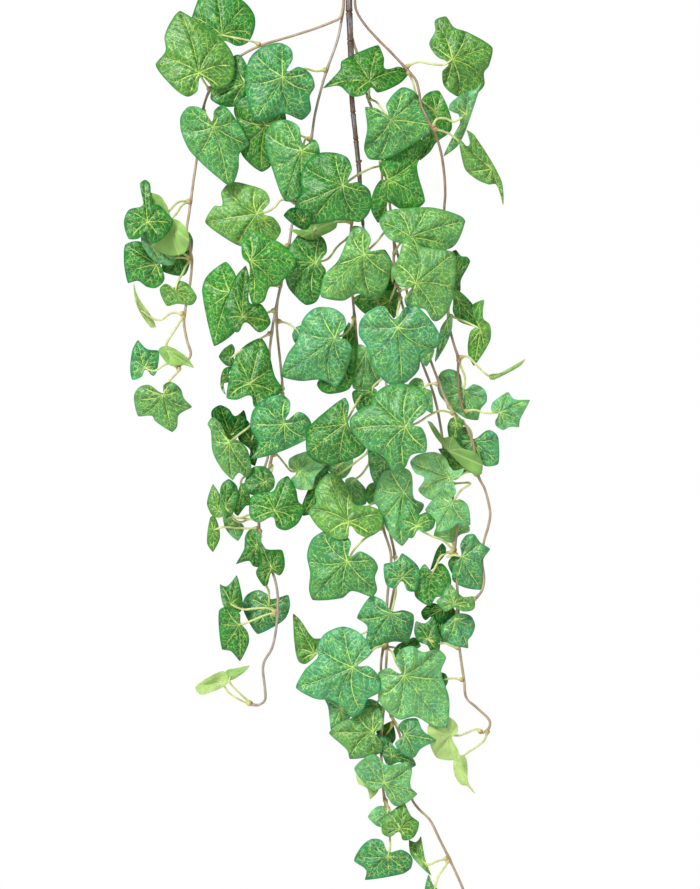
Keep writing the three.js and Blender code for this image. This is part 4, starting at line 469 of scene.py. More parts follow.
def add_node(tree: bpy.types.NodeTree, kind: str, sockets: dict | Sequence = (), **settings: str) -> bpy.types.Node:
    """Adds a shader node with its settings and links.

    A MapRange node's inputs are its value, the range that it comes from and the range that it is brought to. A Mix
    node of colours has its share at 0 and the colours at 6 and 7.

    Args:
        tree: Node tree that takes the node.
        kind: Blender's name of the node type, without its first word, ShaderNode, and after a dot its operation.
        sockets: Its inputs from the first on, or by name or number: each a value, an output to link, or a node
            whose first output is linked.
        **settings: Other properties of the node.

    Returns:
        The node.
    """
    kind, _, operation = kind.partition(".")
    node = tree.nodes.new("ShaderNode" + kind)
    if operation:
        node.operation = operation
    for name, value in settings.items():
        setattr(node, name, value)
    for name, value in sockets.items() if isinstance(sockets, dict) else enumerate(sockets):
        if isinstance(value, bpy.types.Node):
            value = value.outputs[0]
        if isinstance(value, bpy.types.NodeSocket):
            tree.links.new(value, node.inputs[name])
        else:
            node.inputs[name].default_value = value
    return node


def new_material(name: str) -> tuple[bpy.types.Material, Adder]:
    """Makes an empty node material.

    Args:
        name: Name of the real material.

    Returns:
        The material, and add_node for its nodes.
    """
    material = bpy.data.materials.new(name)
    material.use_nodes = True
    material.node_tree.nodes.clear()
    return material, partial(add_node, material.node_tree)


def place(points: np.ndarray) -> np.ndarray:
    """Turns front-view readings (across, down, out) in millimetres into points of the part in metres."""
    across, down, out = np.moveaxis(np.asarray(points, float), -1, 0)
    return np.stack([across - PLUMB_ACROSS, -(out + POT_BEHIND), -(down + CROWN_DROP)], -1) * MM


def read_points(text: str, width: int) -> np.ndarray:
    """Reads points from the tables.

    Args:
        text: Numbers, parted by commas and spaces.
        width: Numbers for each point.

    Returns:
        One row for each point.
    """
    return np.array(text.replace(",", " ").split(), float).reshape(-1, width)


def smooth(points: np.ndarray, step: float) -> np.ndarray:
    """Samples a Catmull-Rom curve through the points.

    Between two points the curve is the cubic whose slope at each is half the way between its neighbours.

    Args:
        points: One row for each point.
        step: Rough spacing of the samples.

    Returns:
        The samples, ending on the last point.
    """
    p = np.asarray(points, float)
    p = np.vstack([2 * p[0] - p[1], p, 2 * p[-1] - p[-2]])
    runs = []
    for a, b, c, d in zip(p, p[1:], p[2:], p[3:]):
        count = max(1, math.floor(float(np.linalg.norm(c - b)) / step + 0.5))
        t = (np.arange(count) / count)[:, None]
        bend = (2 * a - 5 * b + 4 * c - d) * t + (3 * b - 3 * c + d - a) * t * t
        runs.append(b + 0.5 * t * (c - a + bend))
    runs.append(p[-2:-1])
    return np.vstack(runs)


Shell = tuple[np.ndarray, list[np.ndarray]]  # vertices of a closed body, and arrays of corner numbers


@dataclass
class Surface:
    """Grids gathered into one mesh."""

    verts: list[np.ndarray] = field(default_factory=list)
    faces: list[np.ndarray] = field(default_factory=list)
    slots: list[np.ndarray] = field(default_factory=list)
    flat: list[np.ndarray] = field(default_factory=list)
    values: dict[str, list[np.ndarray]] = field(default_factory=dict)
    count: int = 0

    def add(self, verts: np.ndarray, faces: list[tuple], **values: np.ndarray) -> None:
        """Adds vertices with their faces.

        Args:
            verts: Points in metres.
            faces: Arrays of corner numbers, three or four to a face, each with a material slot and, where the
                faces are shaded flat, which keeps the edges round them sharp, True.
            **values: For each attribute, one row of four numbers for each vertex.
        """
        for corners, slot, *flat in faces:
            self.flat.append(np.full(len(corners), bool(flat)))
            if corners.shape[1] == 3:
                corners = np.hstack([corners, np.full((len(corners), 1), -1 - self.count)])
            self.faces.append(corners + self.count)
            self.slots.append(np.full(len(corners), slot))
        self.verts.append(verts)
        self.count += len(verts)
        for name, value in values.items():
            self.values.setdefault(name, []).append(np.asarray(value, float))

    def add_shell(self, shell: Shell, **values: np.ndarray) -> None:
        """Adds a closed body that takes the first material.

        Args:
            shell: Vertices in metres and arrays of corner numbers.
            **values: As for add.
        """
        verts, faces = shell
        self.add(verts, [(corners, 0) for corners in faces], **values)

    def build(self, name: str, materials: list[bpy.types.Material], record_slot: str, *nodes: str) -> bpy.types.Object:
        """Makes the object, lets it ride on the part and stand for its solids.

        Args:
            name: Name of the piece.
            materials: Its material slots.
            record_slot: Not used.
            *nodes: Solids that it stands for.

        Returns:
            The object.
        """
        faces = np.vstack(self.faces)
        sizes = np.where(faces[:, 3] < 0, 3, 4)
        corners = faces[faces >= 0]
        mesh = bpy.data.meshes.new(name)
        mesh.vertices.add(self.count)
        mesh.vertices.foreach_set("co", np.vstack(self.verts).astype(np.float32).ravel())
        mesh.loops.add(len(corners))
        mesh.loops.foreach_set("vertex_index", corners.astype(np.int32))
        mesh.polygons.add(len(faces))
        mesh.polygons.foreach_set("loop_start", (np.cumsum(sizes) - sizes).astype(np.int32))
        mesh.polygons.foreach_set("material_index", np.concatenate(self.slots).astype(np.int32))
        mesh.polygons.foreach_set("use_smooth", ~np.concatenate(self.flat))
        for key, parts in self.values.items():
            rows = np.concatenate(parts).astype(np.float32)
            mesh.attributes.new(key, "FLOAT_COLOR", "POINT").data.foreach_set("color", rows.ravel())
        mesh.update(calc_edges=True)
        mesh.validate()
        for material in materials:
            mesh.materials.append(material)
        piece = bpy.data.objects.new(name, mesh)
        bpy.context.scene.collection.objects.link(piece)
        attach(piece, "root")
        if nodes:
            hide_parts(*nodes)
        log.info("%s: %d faces", name, len(faces))
        return piece


def grid_faces(rows: int, columns: int) -> np.ndarray:
    """Numbers the quads of a grid of vertices stored row by row, whose last column joins the first.

    Args:
        rows: Rows of vertices.
        columns: Vertices in a row.

    Returns:
        Corner numbers, facing outwards where the columns run anticlockwise about the rows' direction.
    """
    r = np.arange(rows - 1)[:, None] * columns
    c = np.arange(columns)[None, :]
    n = (c + 1) % columns
    return np.stack([r + c, r + n, r + columns + n, r + columns + c], -1).reshape(-1, 4)


def closed(rings: np.ndarray, ends: np.ndarray) -> Shell:
    """Closes a grid whose rows run round a body with a fan of triangles at each end.

    Args:
        rings: Vertices by row and column.
        ends: The point of each fan.

    Returns:
        Vertices and arrays of corner numbers.
    """
    rows, columns = rings.shape[:2]
    k, first = np.arange(columns), rows * columns
    n, last = (k + 1) % columns, first - columns
    caps = [np.stack([0 * k + first, n, k], -1), np.stack([0 * k + first + 1, last + k, last + n], -1)]
    return np.vstack([rings.reshape(-1, 3), ends]), [grid_faces(rows, columns), *caps]


def tube(path: np.ndarray, radii: np.ndarray, sides: int) -> Shell:
    """Carries a circle along a path, with both ends closed in a point.

    Each circle stands square to the path; its zero direction is the one before, turned with the path.

    Args:
        path: Points along the middle.
        radii: Radius at each point.
        sides: Corners of the circle.

    Returns:
        Vertices and arrays of corner numbers.
    """
    along = np.gradient(path, axis=0)
    along /= np.linalg.norm(along, axis=1)[:, None]
    side = np.empty_like(path)
    last = np.array([1.0, 0, 0]) if abs(along[0, 0]) < 0.9 else np.array([0, 1.0, 0])
    for i, direction in enumerate(along):
        last = last - direction * (last @ direction)
        last /= np.linalg.norm(last)
        side[i] = last
    other = np.cross(along, side)
    turn = 2 * np.pi * np.arange(sides) / sides
    circle = side[:, None] * np.cos(turn)[None, :, None] + other[:, None] * np.sin(turn)[None, :, None]
    return closed(path[:, None] + circle * np.asarray(radii, float)[:, None, None], path[[0, -1]])


def turned(profile: np.ndarray, segments: int) -> Shell:
    """Turns a profile of radius and height about the pot's axis, which is the vertical through the origin.

    A profile that starts and ends on the axis gets a point there at each end; any other is closed, its last
    ring joined to its first.

    Args:
        profile: Radius and height, in metres, going round the section so that its inside lies to the left.
        segments: Steps round the axis.

    Returns:
        Vertices and arrays of corner numbers.
    """
    turn = 2 * np.pi * np.arange(segments) / segments
    solid = profile[0, 0] == 0
    rings = profile[1:-1] if solid else profile
    r, z = rings[:, 0:1], rings[:, 1:2]
    verts = np.stack([r * np.cos(turn), r * np.sin(turn), z + 0 * turn], -1)
    if solid:
        return closed(verts, np.array([[0, 0, profile[0, 1]], [0, 0, profile[-1, 1]]]))
    return verts.reshape(-1, 3), [grid_faces(len(rings) + 1, segments) % (len(rings) * segments)]


def cross(a: np.ndarray, b: np.ndarray) -> np.ndarray:
    """Area spanned by two directions in the front view: the first's across by the second's down, less the reverse.

    Args:
        a: Directions.
        b: Directions.

    Returns:
        One area for each pair.
    """
    return a[..., 0] * b[..., 1] - a[..., 1] * b[..., 0]


def travelled(line: np.ndarray) -> np.ndarray:
    """Distance along a path, for each of its points.

    Args:
        line: Points of the path.

    Returns:
        One distance for each point.
    """
    return np.concatenate([[0], np.cumsum(np.linalg.norm(np.diff(line, axis=0), axis=1))])


def bell(away: np.ndarray, height: float, reach: float) -> np.ndarray:
    """Bell curve: the height times e to the power of minus the square of the distance over the reach.

    Args:
        away: Distances from its middle.
        height: Height in its middle.
        reach: Distance at which 0.37 of the height is left.

    Returns:
        One height for each distance.
    """
    return height * np.exp(-((away / reach) ** 2))


def ripple(points: np.ndarray, size: float, seed: int, waves: int = 6) -> np.ndarray:
    """Smooth uneven height from -1 to 1: the mean of sine waves in seeded directions about one size.

    Args:
        points: Rows of coordinates.
        size: Wavelength in the same unit.
        seed: Seed of the directions and phases.
        waves: Number of sine waves.

    Returns:
        One value for each row.
    """
    rng = np.random.default_rng(seed)
    directions = rng.normal(size=(waves, points.shape[-1]))
    directions /= np.linalg.norm(directions, axis=1)[:, None]
    lengths = size * rng.uniform(0.6, 1.6, waves)
    phase = rng.uniform(0, 2 * np.pi, waves)
    return np.sin(points @ (directions.T * 2 * np.pi / lengths) + phase).mean(-1) * 1.6


def hang(points: np.ndarray) -> np.ndarray:
    """Places front-view points of the plant, with an unevenness of depth that stems and leaves share.

    The depth changes by up to 2.5 mm in waves about 30 and 14 mm long, so that whatever lies over a leaf bends
    with it; towards the crown the waves fade out.

    Args:
        points: Across, down and out, in millimetres.

    Returns:
        Points of the part in metres.
    """
    points = np.array(points, float)
    flat = points[:, :2]
    sway = sum(depth * ripple(flat, length, seed, SWAY_WAVES) for depth, length, seed in SWAY)
    points[:, 2] += sway * np.clip(points[:, 1] / SWAY_FADE, 0, 1)
    return place(points)


@dataclass
class Leaf:
    """One leaf of the leaf table: its edge in the front view and the depth of its blade, in millimetres."""

    strand: str
    facts: str
    outline: str
    arch: float = 0.08
    heart_margin: float = 0.8
    heart_rounds: int = 200
    out: float = 0.0

    def __post_init__(self) -> None:
        """Reads the leaf's facts and outline, and works out the blade's corners and lines."""
        self.name, tone, numbers = self.facts.split(maxsplit=2)
        self.tone = Tone[tone.upper()]
        numbers = read_points(numbers, 1).ravel()
        self.turn, self.lean, self.fold_left, self.fold_right = numbers[[0, 3, 4, 5]]
        self.base = numbers[1:3]
        self.stalk = numbers[6:].reshape(-1, 2)
        self.edge = self.base + read_points(self.outline, 2)
        tip = self.edge[0] - self.base
        self.length = np.linalg.norm(tip)
        self.along = tip / self.length
        self.heart = self.base + self.find_heart()
        corners = np.vstack([self.heart, self.edge])
        self.corners = np.column_stack([corners, self.depth(corners)])
        ring, after = self.corners[1:], np.roll(self.corners[1:], -1, axis=0)
        self.fan = np.stack([np.broadcast_to(self.corners[0], ring.shape), ring, after], 1)
        self.lines = np.concatenate([self.fan[:, :2], self.fan[:, 1:]])
        self.low, self.high = corners.min(0), corners.max(0)

    def find_heart(self) -> np.ndarray:
        """Finds the point near the base from which the whole edge is seen.

        Starting on the base, it moves inwards from each side of the edge that it is too close to, round by round.

        Returns:
            The point, relative to the base.
        """
        edge = self.edge - self.base
        after = np.roll(edge, -1, axis=0)
        run = after - edge
        inward = np.stack([-run[:, 1], run[:, 0]], -1) / np.linalg.norm(run, axis=1)[:, None]
        x, y = 0.0, 0.0
        sides = list(zip(edge.tolist(), inward.tolist()))
        for _ in range(self.heart_rounds):
            for (ax, ay), (nx, ny) in sides:
                inside = (x - ax) * nx + (y - ay) * ny
                if inside < self.heart_margin:
                    x += nx * (self.heart_margin - inside)
                    y += ny * (self.heart_margin - inside)
        return np.array([x, y])

    def depth(self, points: np.ndarray, crease: float = 0.0) -> np.ndarray:
        """Depth of the blade towards the viewer at front-view points, relative to its base.

        The blade leans along its midrib, its halves fall back on both sides, and it arches back all round.

        Args:
            points: Across and down.
            crease: Radius that softens the fold at the midrib.

        Returns:
            One depth for each point.
        """
        u = points - self.base
        right = u @ np.array([-self.along[1], self.along[0]])
        fold = np.where(right > 0, self.fold_right, self.fold_left)
        fall = fold * (np.sqrt(right**2 + crease**2) - crease)
        return self.lean * (u @ self.along) - fall - self.arch * np.linalg.norm(u, axis=-1)

    def flat_depth(self, points: np.ndarray) -> np.ndarray:
        """Depth of the flat triangles that join the heart to the edge, by their weights at each point.

        Args:
            points: Across and down.

        Returns:
            One depth for each point, NaN off the blade.
        """
        heart = self.fan[:, 0]
        a, b = self.fan[:, 1] - heart, self.fan[:, 2] - heart
        here = points[:, None, :2] - heart[:, :2]
        u, v = cross(here, b) / cross(a, b), cross(a, here) / cross(a, b)
        hit = (u >= 0) & (v >= 0) & (u + v <= 1)
        z = heart[:, 2] + u * a[:, 2] + v * b[:, 2]
        return np.where(hit.any(1), z[np.arange(len(points)), hit.argmax(1)], np.nan)

    def nearer(self, other: "Leaf") -> np.ndarray:
        """Compares the blades' depths at each corner of one over the other, and where their lines cross.

        Args:
            other: The other leaf.

        Returns:
            How much nearer the viewer this blade lies at each such place.
        """
        mine, theirs = self.corners, other.corners
        found = [mine[:, 2] - other.flat_depth(mine[:, :2]), self.flat_depth(theirs[:, :2]) - theirs[:, 2]]
        a, b = other.lines[:, None, 0], other.lines[:, None, 1]
        c, d = self.lines[None, :, 0], self.lines[None, :, 1]
        u, v, w = b - a, d - c, c - a
        area = cross(u, v)
        with np.errstate(divide="ignore", invalid="ignore"):
            s, t = cross(w, v) / area, cross(w, u) / area
            gap = w[..., 2] + t * v[..., 2] - s * u[..., 2]
            met = (np.abs(area) > 1e-9) & (s >= 0) & (s <= 1) & (t >= 0) & (t <= 1)
        found.append(gap[met])
        values = np.concatenate(found)
        return values[~np.isnan(values)]


@dataclass
class Plant:
    """Strands and leaves, laid over each other as they hang; sizes in millimetres."""

    leaf_gap: float = 2.0
    blade_room: float = 1.6  # kept free between a blade and a strand
    stalk_length: float = 24
    low_start: float = 0.3  # what a start below the leaf's base counts as farther off, for each millimetre
    stalk_rise: float = 5  # least depth from a stalk's start to its blade
    leafless_behind: float = -26
    front_stretch: Pair = (100, 165)  # down, where the right outer strand lies over the leaves
    front_clearance: float = 3.6
    front_slope: float = 0.35
    branch_point: tuple[float, ...] = (382, 155, -8.3)  # where the strand right of the middle leaves the branch

    def __post_init__(self) -> None:
        """Reads the routes and the leaf table, and lays the leaves."""
        self.routes = {name: read_points(route, 3) for name, route in STRANDS.items()}
        self.lines = {name: smooth(route, 8) for name, route in self.routes.items()}
        self.leaves = []
        for strand, table in LEAVES.items():
            self.leaves.extend(Leaf(strand, *row.split("|")) for row in table.split(";")[:-1])
        self.lay_leaves()
        self.bring_forward("right_outer")
        self.routes["right_mid"] = np.vstack([self.branch_point, self.routes["right_mid"][3:]])

    def stalk_start(self, leaf: Leaf) -> np.ndarray:
        """Finds the point of a strand from which a leaf's stalk starts.

        It is the nearest to the stalk's first point, or, where no route is listed, one about a stalk's length
        away up the strand.

        Args:
            leaf: The leaf.

        Returns:
            The point, across, down and out.
        """
        line = self.lines[leaf.strand]
        line = line[line[:, 2] > self.leafless_behind]
        if leaf.strand == "centre":
            line = np.vstack([line, self.lines["centre_branch"]])
        if len(leaf.stalk):
            cost = np.linalg.norm(line[:, :2] - leaf.stalk[0], axis=1)
        else:
            reach = np.linalg.norm(line[:, :2] - leaf.base, axis=1)
            cost = np.abs(reach - self.stalk_length) + self.low_start * np.maximum(0, line[:, 1] - leaf.base[1])
        return line[np.argmin(cost)]

    def lay_leaves(self) -> None:
        """Moves each leaf along the line of sight until it clears the strands and the leaves laid before it."""
        behind = [leaf for leaf in self.leaves if leaf.turn < 0]
        before = sorted((leaf for leaf in self.leaves if leaf.turn >= 0), key=lambda leaf: leaf.turn)
        laid: list[Leaf] = []
        for leaf in [*behind, *before]:
            sign = -1 if leaf.turn < 0 else 1
            wanted = [self.stalk_start(leaf)[2] + sign * self.stalk_rise]
            for name, line in self.lines.items():
                radius = MAIN_RING_RADIUS if name == "centre" else STRAND_RADIUS
                clear = line[:, 2] + sign * (radius + self.blade_room) - leaf.flat_depth(line[:, :2])
                wanted.extend(clear[~np.isnan(clear)])
            for other in laid:
                if (other.low < leaf.high).all() and (other.high > leaf.low).all():
                    wanted.extend(other.out - leaf.nearer(other) + sign * self.leaf_gap)
            leaf.out = max(wanted) if sign > 0 else min(wanted)
            laid.append(leaf)

    def bring_forward(self, strand: str) -> None:
        """Brings a stretch of a strand in front of the leaves that it crosses.

        A point there takes the depth of the nearest blade and a clearance; the rest follows it on even slopes,
        and the whole is evened by a running mean.

        Args:
            strand: Name of the strand.
        """
        line = smooth(self.routes[strand], 4)
        over = np.array([leaf.out + leaf.flat_depth(line[:, :2]) for leaf in self.leaves])
        top = np.nan_to_num(over, nan=-FAR).max(0) + self.front_clearance
        above, below = self.front_stretch
        wanted = np.where((line[:, 1] > above) & (line[:, 1] < below), np.maximum(top, line[:, 2]), line[:, 2])
        apart = np.linalg.norm(line[:, None, :2] - line[None, :, :2], axis=-1)
        free = wanted > line[:, 2] + 0.1
        reach = np.where(free[None, :], wanted[None, :] - self.front_slope * apart, -FAR).max(1)
        raised = np.maximum(line[:, 2], reach)
        evened = np.convolve(np.pad(raised, 2, mode="edge"), np.full(5, 0.2), mode="valid")
        line[:, 2] = np.where(raised > line[:, 2] + 0.05, np.maximum(evened, wanted), line[:, 2])
        self.routes[strand] = self.lines[strand] = line

    def group(self, strand: str) -> list[Leaf]:
        """Leaves that one strand bears."""
        return [leaf for leaf in self.leaves if leaf.strand == strand]


def spline(edge: np.ndarray, heart: np.ndarray, samples: int) -> np.ndarray:
    """Rounds a leaf's edge between its listed points, keeping the tips of the lobes sharp.

    A Hermite cubic joins each point to the next; the sharper the corner of a tip, the shorter its slope.

    Args:
        edge: Corners of the edge.
        heart: Point inside the leaf from which its veins spread.
        samples: Points for each stretch.

    Returns:
        The rounded edge, from the tip on.
    """
    before, after = np.roll(edge, 1, axis=0), np.roll(edge, -1, axis=0)
    reach = np.linalg.norm(edge - heart, axis=1)
    back = (before - edge) / np.linalg.norm(before - edge, axis=1)[:, None]
    ahead = (after - edge) / np.linalg.norm(after - edge, axis=1)[:, None]
    sharp = (back * ahead).sum(1)
    tips = (reach > np.roll(reach, 1)) & (reach > np.roll(reach, -1))
    direction = after - before
    direction /= np.linalg.norm(direction, axis=1)[:, None]
    step = np.linalg.norm(after - edge, axis=1)
    pull = np.where(tips, np.clip(0.35 - 0.5 * sharp, 0.15, 0.85), 0.9)
    t = (np.arange(samples) / samples)[None, :, None]
    a, b = edge[:, None], after[:, None]
    da = (direction * (pull * step)[:, None])[:, None]
    db = (np.roll(direction, -1, axis=0) * (np.roll(pull, -1) * step)[:, None])[:, None]
    h = (2 * t**3 - 3 * t**2 + 1) * a + (t**3 - 2 * t**2 + t) * da + (3 * t**2 - 2 * t**3) * b + (t**3 - t**2) * db
    return h.reshape(-1, 2)


@dataclass
class LeafCloth:
    """Leaves of one strand, pressed from thin fabric with veins and a soft crease."""

    strand: str
    leaves: list[Leaf]
    rings: tuple[float, ...] = (0.0, 0.07, 0.15, 0.24, 0.34, 0.45, 0.56, 0.67, 0.78, 0.88, 0.95, 1.0)
    samples: int = 7
    thickness: float = 0.5
    crease: float = 1.6
    vein_turns: tuple[int, ...] = (48, -48, 98, -98, 148, -148)
    vein_search: float = 24  # degrees to each side of the usual turn
    vein_apart: float = 22  # degrees
    shortest_vein: Pair = (0.3, 7)  # share of the midrib, and millimetres
    bow: tuple[float, float, float] = (0.34, 0.12, 0.08)  # of the columns: once round, twice round, by chance
    full_length: float = 34  # a leaf at least so long has its relief in full
    swell: Pair = (1.7, 3.6)  # height between the veins, and the distance over which it rises
    groove: Pair = (0.5, 1.4)  # depth and half width
    edge_wave: Pair = (1.3, 19)  # height and wavelength
    fine_wave: Pair = (0.4, 8)
    unshaded_vein_green: float = 0.19  # linear green of a tone, from which on its veins are not dimmed; on darker tones they are dimmed as painted shade

    def build(self, materials: list[bpy.types.Material], *nodes: str) -> bpy.types.Object:
        """Makes the leaves as one piece.

        Args:
            materials: Upper face, then underside.
            *nodes: Solids that the leaves stand for.

        Returns:
            The object.
        """
        surface = Surface()
        for leaf in self.leaves:
            self.add_leaf(surface, leaf)
        return surface.build(f"leaves_{self.strand}", materials, "leaves", *nodes)

    def vein_ends(self, leaf: Leaf, edge: np.ndarray) -> list[int]:
        """Chooses where the main veins meet the edge: the tip, and the far points of up to six lobes.

        Each lobe's vein looks for the farthest edge point near its usual turn from the midrib, and is left out
        where the blade is short.

        Args:
            leaf: The leaf.
            edge: Its rounded edge.

        Returns:
            Numbers of edge points.
        """
        u = edge - leaf.heart
        reach = np.linalg.norm(u, axis=1)
        turn = np.degrees(np.arctan2(u[:, 1], u[:, 0]) - math.atan2(u[0, 1], u[0, 0]))
        ends = [0]
        share, shortest = self.shortest_vein
        for wanted in self.vein_turns:
            off = np.abs((turn - wanted + 180) % 360 - 180)
            score = np.where(off < self.vein_search, reach * (1 - off / 90), -1)
            best = int(score.argmax())
            apart = min(np.abs((turn[best] - turn[ends] + 180) % 360 - 180))
            if reach[best] > max(share * reach[0], shortest) and apart > self.vein_apart:
                ends.append(best)
        return ends

    def vein_place(self, leaf: Leaf, edge: np.ndarray, straight: np.ndarray) -> tuple[np.ndarray, ...]:
        """Finds where points of a blade lie by its main veins, which are taken as straight here.

        Args:
            leaf: The leaf.
            edge: Its rounded edge.
            straight: Points from the heart, on straight columns.

        Returns:
            Distance beside the nearest vein, distance along it, and the side of it, -1, 0 or 1.
        """
        ends = edge[self.vein_ends(leaf, edge)] - leaf.heart
        ends /= np.linalg.norm(ends, axis=1)[:, None]
        ahead = np.maximum(0, straight @ ends.T)
        away = np.linalg.norm(straight[:, None] - ahead[..., None] * ends, axis=-1)
        nearest = away.argmin(1)
        pick = np.arange(len(straight))
        beside, along = away[pick, nearest], ahead[pick, nearest]
        side = np.sign(cross(straight, ends[nearest]))
        side[beside < 0.05] = 0
        return beside, along, side

    def press(self, points: np.ndarray, share: np.ndarray, room: np.ndarray, beside: np.ndarray, size: float) -> None:
        """Presses the relief into a blade: it swells between the main veins, which lie in grooves.

        Beside a vein the swell grows as one less e to the power of minus the distance over the rise, to the power
        of 1.3. The groove is a bell curve that ends at the edge.

        Args:
            points: Front-view points of the blade, whose depth is changed.
            share: Share of the way from the heart to the edge.
            room: Share of the swell that has room, less by the heart and by the edge.
            beside: Distance beside the nearest main vein.
            size: Share of the relief that the leaf's size allows.
        """
        (high, rise), (deep, _) = self.swell, self.groove
        points[:, 2] += high * size * (1 - np.exp(-((beside / rise) ** 1.3))) * room - deep * size
        points[:, 2] -= bell(beside, *self.groove) * np.clip(1.2 - share, 0, 1)

    def add_leaf(self, surface: Surface, leaf: Leaf) -> None:
        """Adds one leaf: a grid of rings from its heart out to its edge, on both faces, joined by a thin rim.

        The blade follows the solids' depth with its fold softened, takes the pressed relief, and waves a little,
        most at its edge. The columns of the grid bow sideways between heart and edge, so that the veins, which
        follow columns, run in slight curves.

        Args:
            surface: Mesh that takes it.
            leaf: The leaf.
        """
        seed = sum(ord(c) * 31**i for i, c in enumerate(leaf.name)) % 99991
        rng = np.random.default_rng(seed)
        edge = spline(leaf.edge, leaf.heart, self.samples)
        n, k, t = len(edge), np.arange(len(edge)), np.array(self.rings[1:])
        rays = edge - leaf.heart
        share = np.concatenate([[0.0], np.repeat(t, n)])
        straight = np.vstack([[[0.0, 0.0]], (t[:, None, None] * rays).reshape(-1, 2)])
        turn = np.arctan2(rays[:, 1], rays[:, 0]) - math.atan2(rays[0, 1], rays[0, 0])
        once, twice, odd = self.bow
        bow = once * np.sin(turn) + twice * np.sin(2 * turn + rng.uniform(0, 6)) + rng.uniform(-odd, odd)
        bow = np.concatenate([[0.0], ((1 - t)[:, None] * bow).ravel()])
        flat = leaf.heart + straight + bow[:, None] * np.stack([straight[:, 1], -straight[:, 0]], -1)
        beside, along, side = self.vein_place(leaf, edge, straight)
        margin = (1 - share) * np.concatenate([[20.0], np.tile(np.linalg.norm(rays, axis=1), len(t))])
        size = min(1.0, leaf.length / self.full_length)
        room = np.clip(np.linalg.norm(straight, axis=1) / 5, 0, 1) * np.clip(margin / 5, 0.25, 1)
        blade = np.column_stack([flat, leaf.out + leaf.depth(flat, self.crease)])
        self.press(blade, share, room, beside, size)
        (high, long), (low, short) = self.edge_wave, self.fine_wave
        blade[:, 2] += ripple(flat, long, seed) * high * size * share**2 + ripple(flat, short, seed + 1) * low * size
        front, back = (hang(blade + (0, 0, half * self.thickness)) for half in (0.5, -0.5))
        m = (k + 1) % n
        inner = np.stack([np.zeros(n, int), m + 1, k + 1], -1)
        outer = grid_faces(len(t), n) + 1
        half = len(front)
        rim = 1 + (len(t) - 1) * n
        strip = np.stack([rim + m, half + rim + m, half + rim + k, rim + k], -1)
        front_slot = int(leaf.tone in PLAIN)
        faces = [(inner, front_slot), (outer, front_slot), (strip, front_slot, True)]
        faces += [(grid[:, ::-1] + half, 1 - front_slot) for grid in (inner, outer)]
        # The dye differs a little from leaf to leaf, at random; the veins of deep tones are dimmer, painted shade that
        # goes with the tone.
        colour = np.array(linear(leaf.tone.value))
        colour[:3] *= rng.uniform(0.95, 1.05) * rng.uniform(0.97, 1.03, 3)
        colour[3] = np.clip(colour[1] / self.unshaded_vein_green, 0.25, 1)
        chance = np.full(half, rng.uniform(0, 300))
        surface.add(
            np.vstack([front, back]),
            faces,
            tone=np.tile(colour, (2 * half, 1)),
            veins=np.tile(np.column_stack([beside, along, margin, side]), (2, 1)),
            cloth=np.tile(np.column_stack([straight, chance, np.full(half, size)]), (2, 1)),
        )


